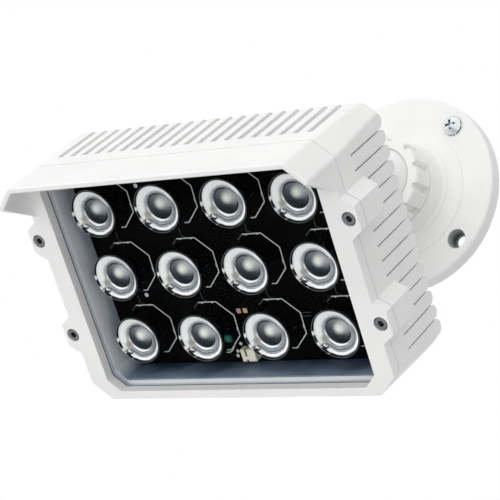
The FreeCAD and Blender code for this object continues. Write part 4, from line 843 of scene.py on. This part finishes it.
def drop(mesh, middle, radius, bulge):
    # a low drop of paint or solder on the board's front
    y = boardMarks["front"]
    segments = boardMarks["dropSegments"]
    rings = []
    for share in boardMarks["dropRings"]:
        height = bulge * math.sqrt(1 - (share * boardMarks["dropRound"]) ** 2)
        rings.append([mesh.verts.new(headToRow @ Vector((
            middle[0] + radius * share * math.cos(2 * math.pi * step / segments), y - height,
            middle[1] + radius * share * math.sin(2 * math.pi * step / segments))))
            for step in range(segments)])
    top = mesh.verts.new(headToRow @ Vector((middle[0], y - bulge, middle[1])))
    for outer, inner in zip(rings, rings[1:]):
        for step in range(segments):
            following = (step + 1) % segments
            mesh.faces.new((outer[step], outer[following], inner[following], inner[step])).smooth = True
    for step in range(segments):
        mesh.faces.new((rings[-1][step], rings[-1][(step + 1) % segments], top)).smooth = True


def addPiece(name, mesh, finish, body):
    data = bpy.data.meshes.new(name)
    bmesh.ops.recalc_face_normals(mesh, faces=mesh.faces)
    mesh.to_mesh(data)
    mesh.free()
    data.materials.append(materials[finish])
    piece = bpy.data.objects.new(name, data)
    scene.collection.objects.link(piece)
    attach(piece, body)
    return piece


# White epoxy ink, screen-printed: matt and a little uneven.
materials["board print"] = plasticMaterial("white screen print", "#EAF4F8", 0.6, 0.4, 0.3)
# The same ink where it is thin, and tracks that show as a dim line through the mask.
materials["dim print"] = plasticMaterial("thin screen print", "#44494D", 0.6, 0.4, 0.3)
# Bare pads, hazy from flux: one still pink copper, the other washed with tin.
materials["copper"] = plasticMaterial("fluxed copper pad", "#CDA095", 0.45, 0.8, 0.15)
materials["tinned copper"] = plasticMaterial("tinned copper pad", "#D8BC8C", 0.4, 0.8, 0.15)
# Solder under flux: bright, smooth, cream-white drops.
materials["solder"] = plasticMaterial("solder under clear flux", "#F1EEDC", 0.25, 1.2, 0.05)

bright, dim = bmesh.new(), bmesh.new()
gridMiddle = (0.0, 0.0)
for row, x, z in lensGrid:
    for points in boardMarks["outline"] + boardMarks["pinPrint"]:
        ribbon(bright, points, boardMarks["lineWidth"], (x, z))
    for points in boardMarks["dimLines"]:
        ribbon(dim, points, boardMarks["lineWidth"], (x, z))
    if row > 0:
        for points in boardMarks["links"]:
            ribbon(dim, points, boardMarks["thinWidth"], (x, z))
for points in boardMarks["pairLines"]:
    ribbon(dim, points, boardMarks["thinWidth"], gridMiddle)
ribbon(bright, boardMarks["arc"], boardMarks["lineWidth"], gridMiddle)
addPiece("emitter_outlines", bright, "board print", "head")
addPiece("board_tracks", dim, "dim print", "head")

dots = bmesh.new()
for middle in boardMarks["dots"]:
    drop(dots, middle, boardMarks["dotRadius"], boardMarks["dotBulge"])
addPiece("paint_dots", dots, "board print", "head")

drops = bmesh.new()
for middle in boardMarks["solder"]:
    drop(drops, middle, boardMarks["dropRadius"], boardMarks["dropBulge"])
addPiece("solder_drops", drops, "solder", "head")

half = boardMarks["padSide"] / 2
for finish, middle in boardMarks["pads"].items():
    pad = bmesh.new()
    ribbon(pad, [(-half, 0), (half, 0)], boardMarks["padSide"], middle)
    addPiece(finish.replace(" ", "_") + "_pad", pad, finish, "head")

# The white socket at the board's lower edge, a block with a slit from its top and a notch in its bottom.
# Its sides are mm from the middle of the lens grid, seen from the front.
socketShell = {
    "left": -6.0,
    "right": 1.1,
    "bottom": -46.0,
    "top": -40.3,
    "height": 3.4,
    "slitMiddle": -3.5,
    "slitWidth": 0.9,
    "slitLength": 3.2,
    "notch": 0.9,
    "bevel": 0.15,
    "bevelSegments": 2,
}
left, right, low, high = (socketShell[side] for side in ("left", "right", "bottom", "top"))
slitLeft = socketShell["slitMiddle"] - socketShell["slitWidth"] / 2
slitRight = socketShell["slitMiddle"] + socketShell["slitWidth"] / 2
slitEnd = high - socketShell["slitLength"]
notchEnd = low + socketShell["notch"]
outline = [(left, low), (slitLeft, low), (slitLeft, notchEnd), (slitRight, notchEnd), (slitRight, low),
           (right, low), (right, high), (slitRight, high), (slitRight, slitEnd), (slitLeft, slitEnd),
           (slitLeft, high), (left, high)]
shell = bmesh.new()
layers = [[shell.verts.new(headToRow @ Vector((x, boardMarks["front"] - rise, z))) for x, z in outline]
          for rise in (0.0, socketShell["height"])]
for layer in layers:
    shell.faces.new(layer)
for index in range(len(outline)):
    following = (index + 1) % len(outline)
    shell.faces.new((layers[0][index], layers[0][following], layers[1][following], layers[1][index]))
bmesh.ops.recalc_face_normals(shell, faces=shell.faces)
bmesh.ops.bevel(shell, geom=list(shell.edges), offset=socketShell["bevel"] * mm,
                segments=socketShell["bevelSegments"], affect="EDGES")
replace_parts(addPiece("socket_shell", shell, "white nylon", "head"), "board_socket")
print("board marks ready")
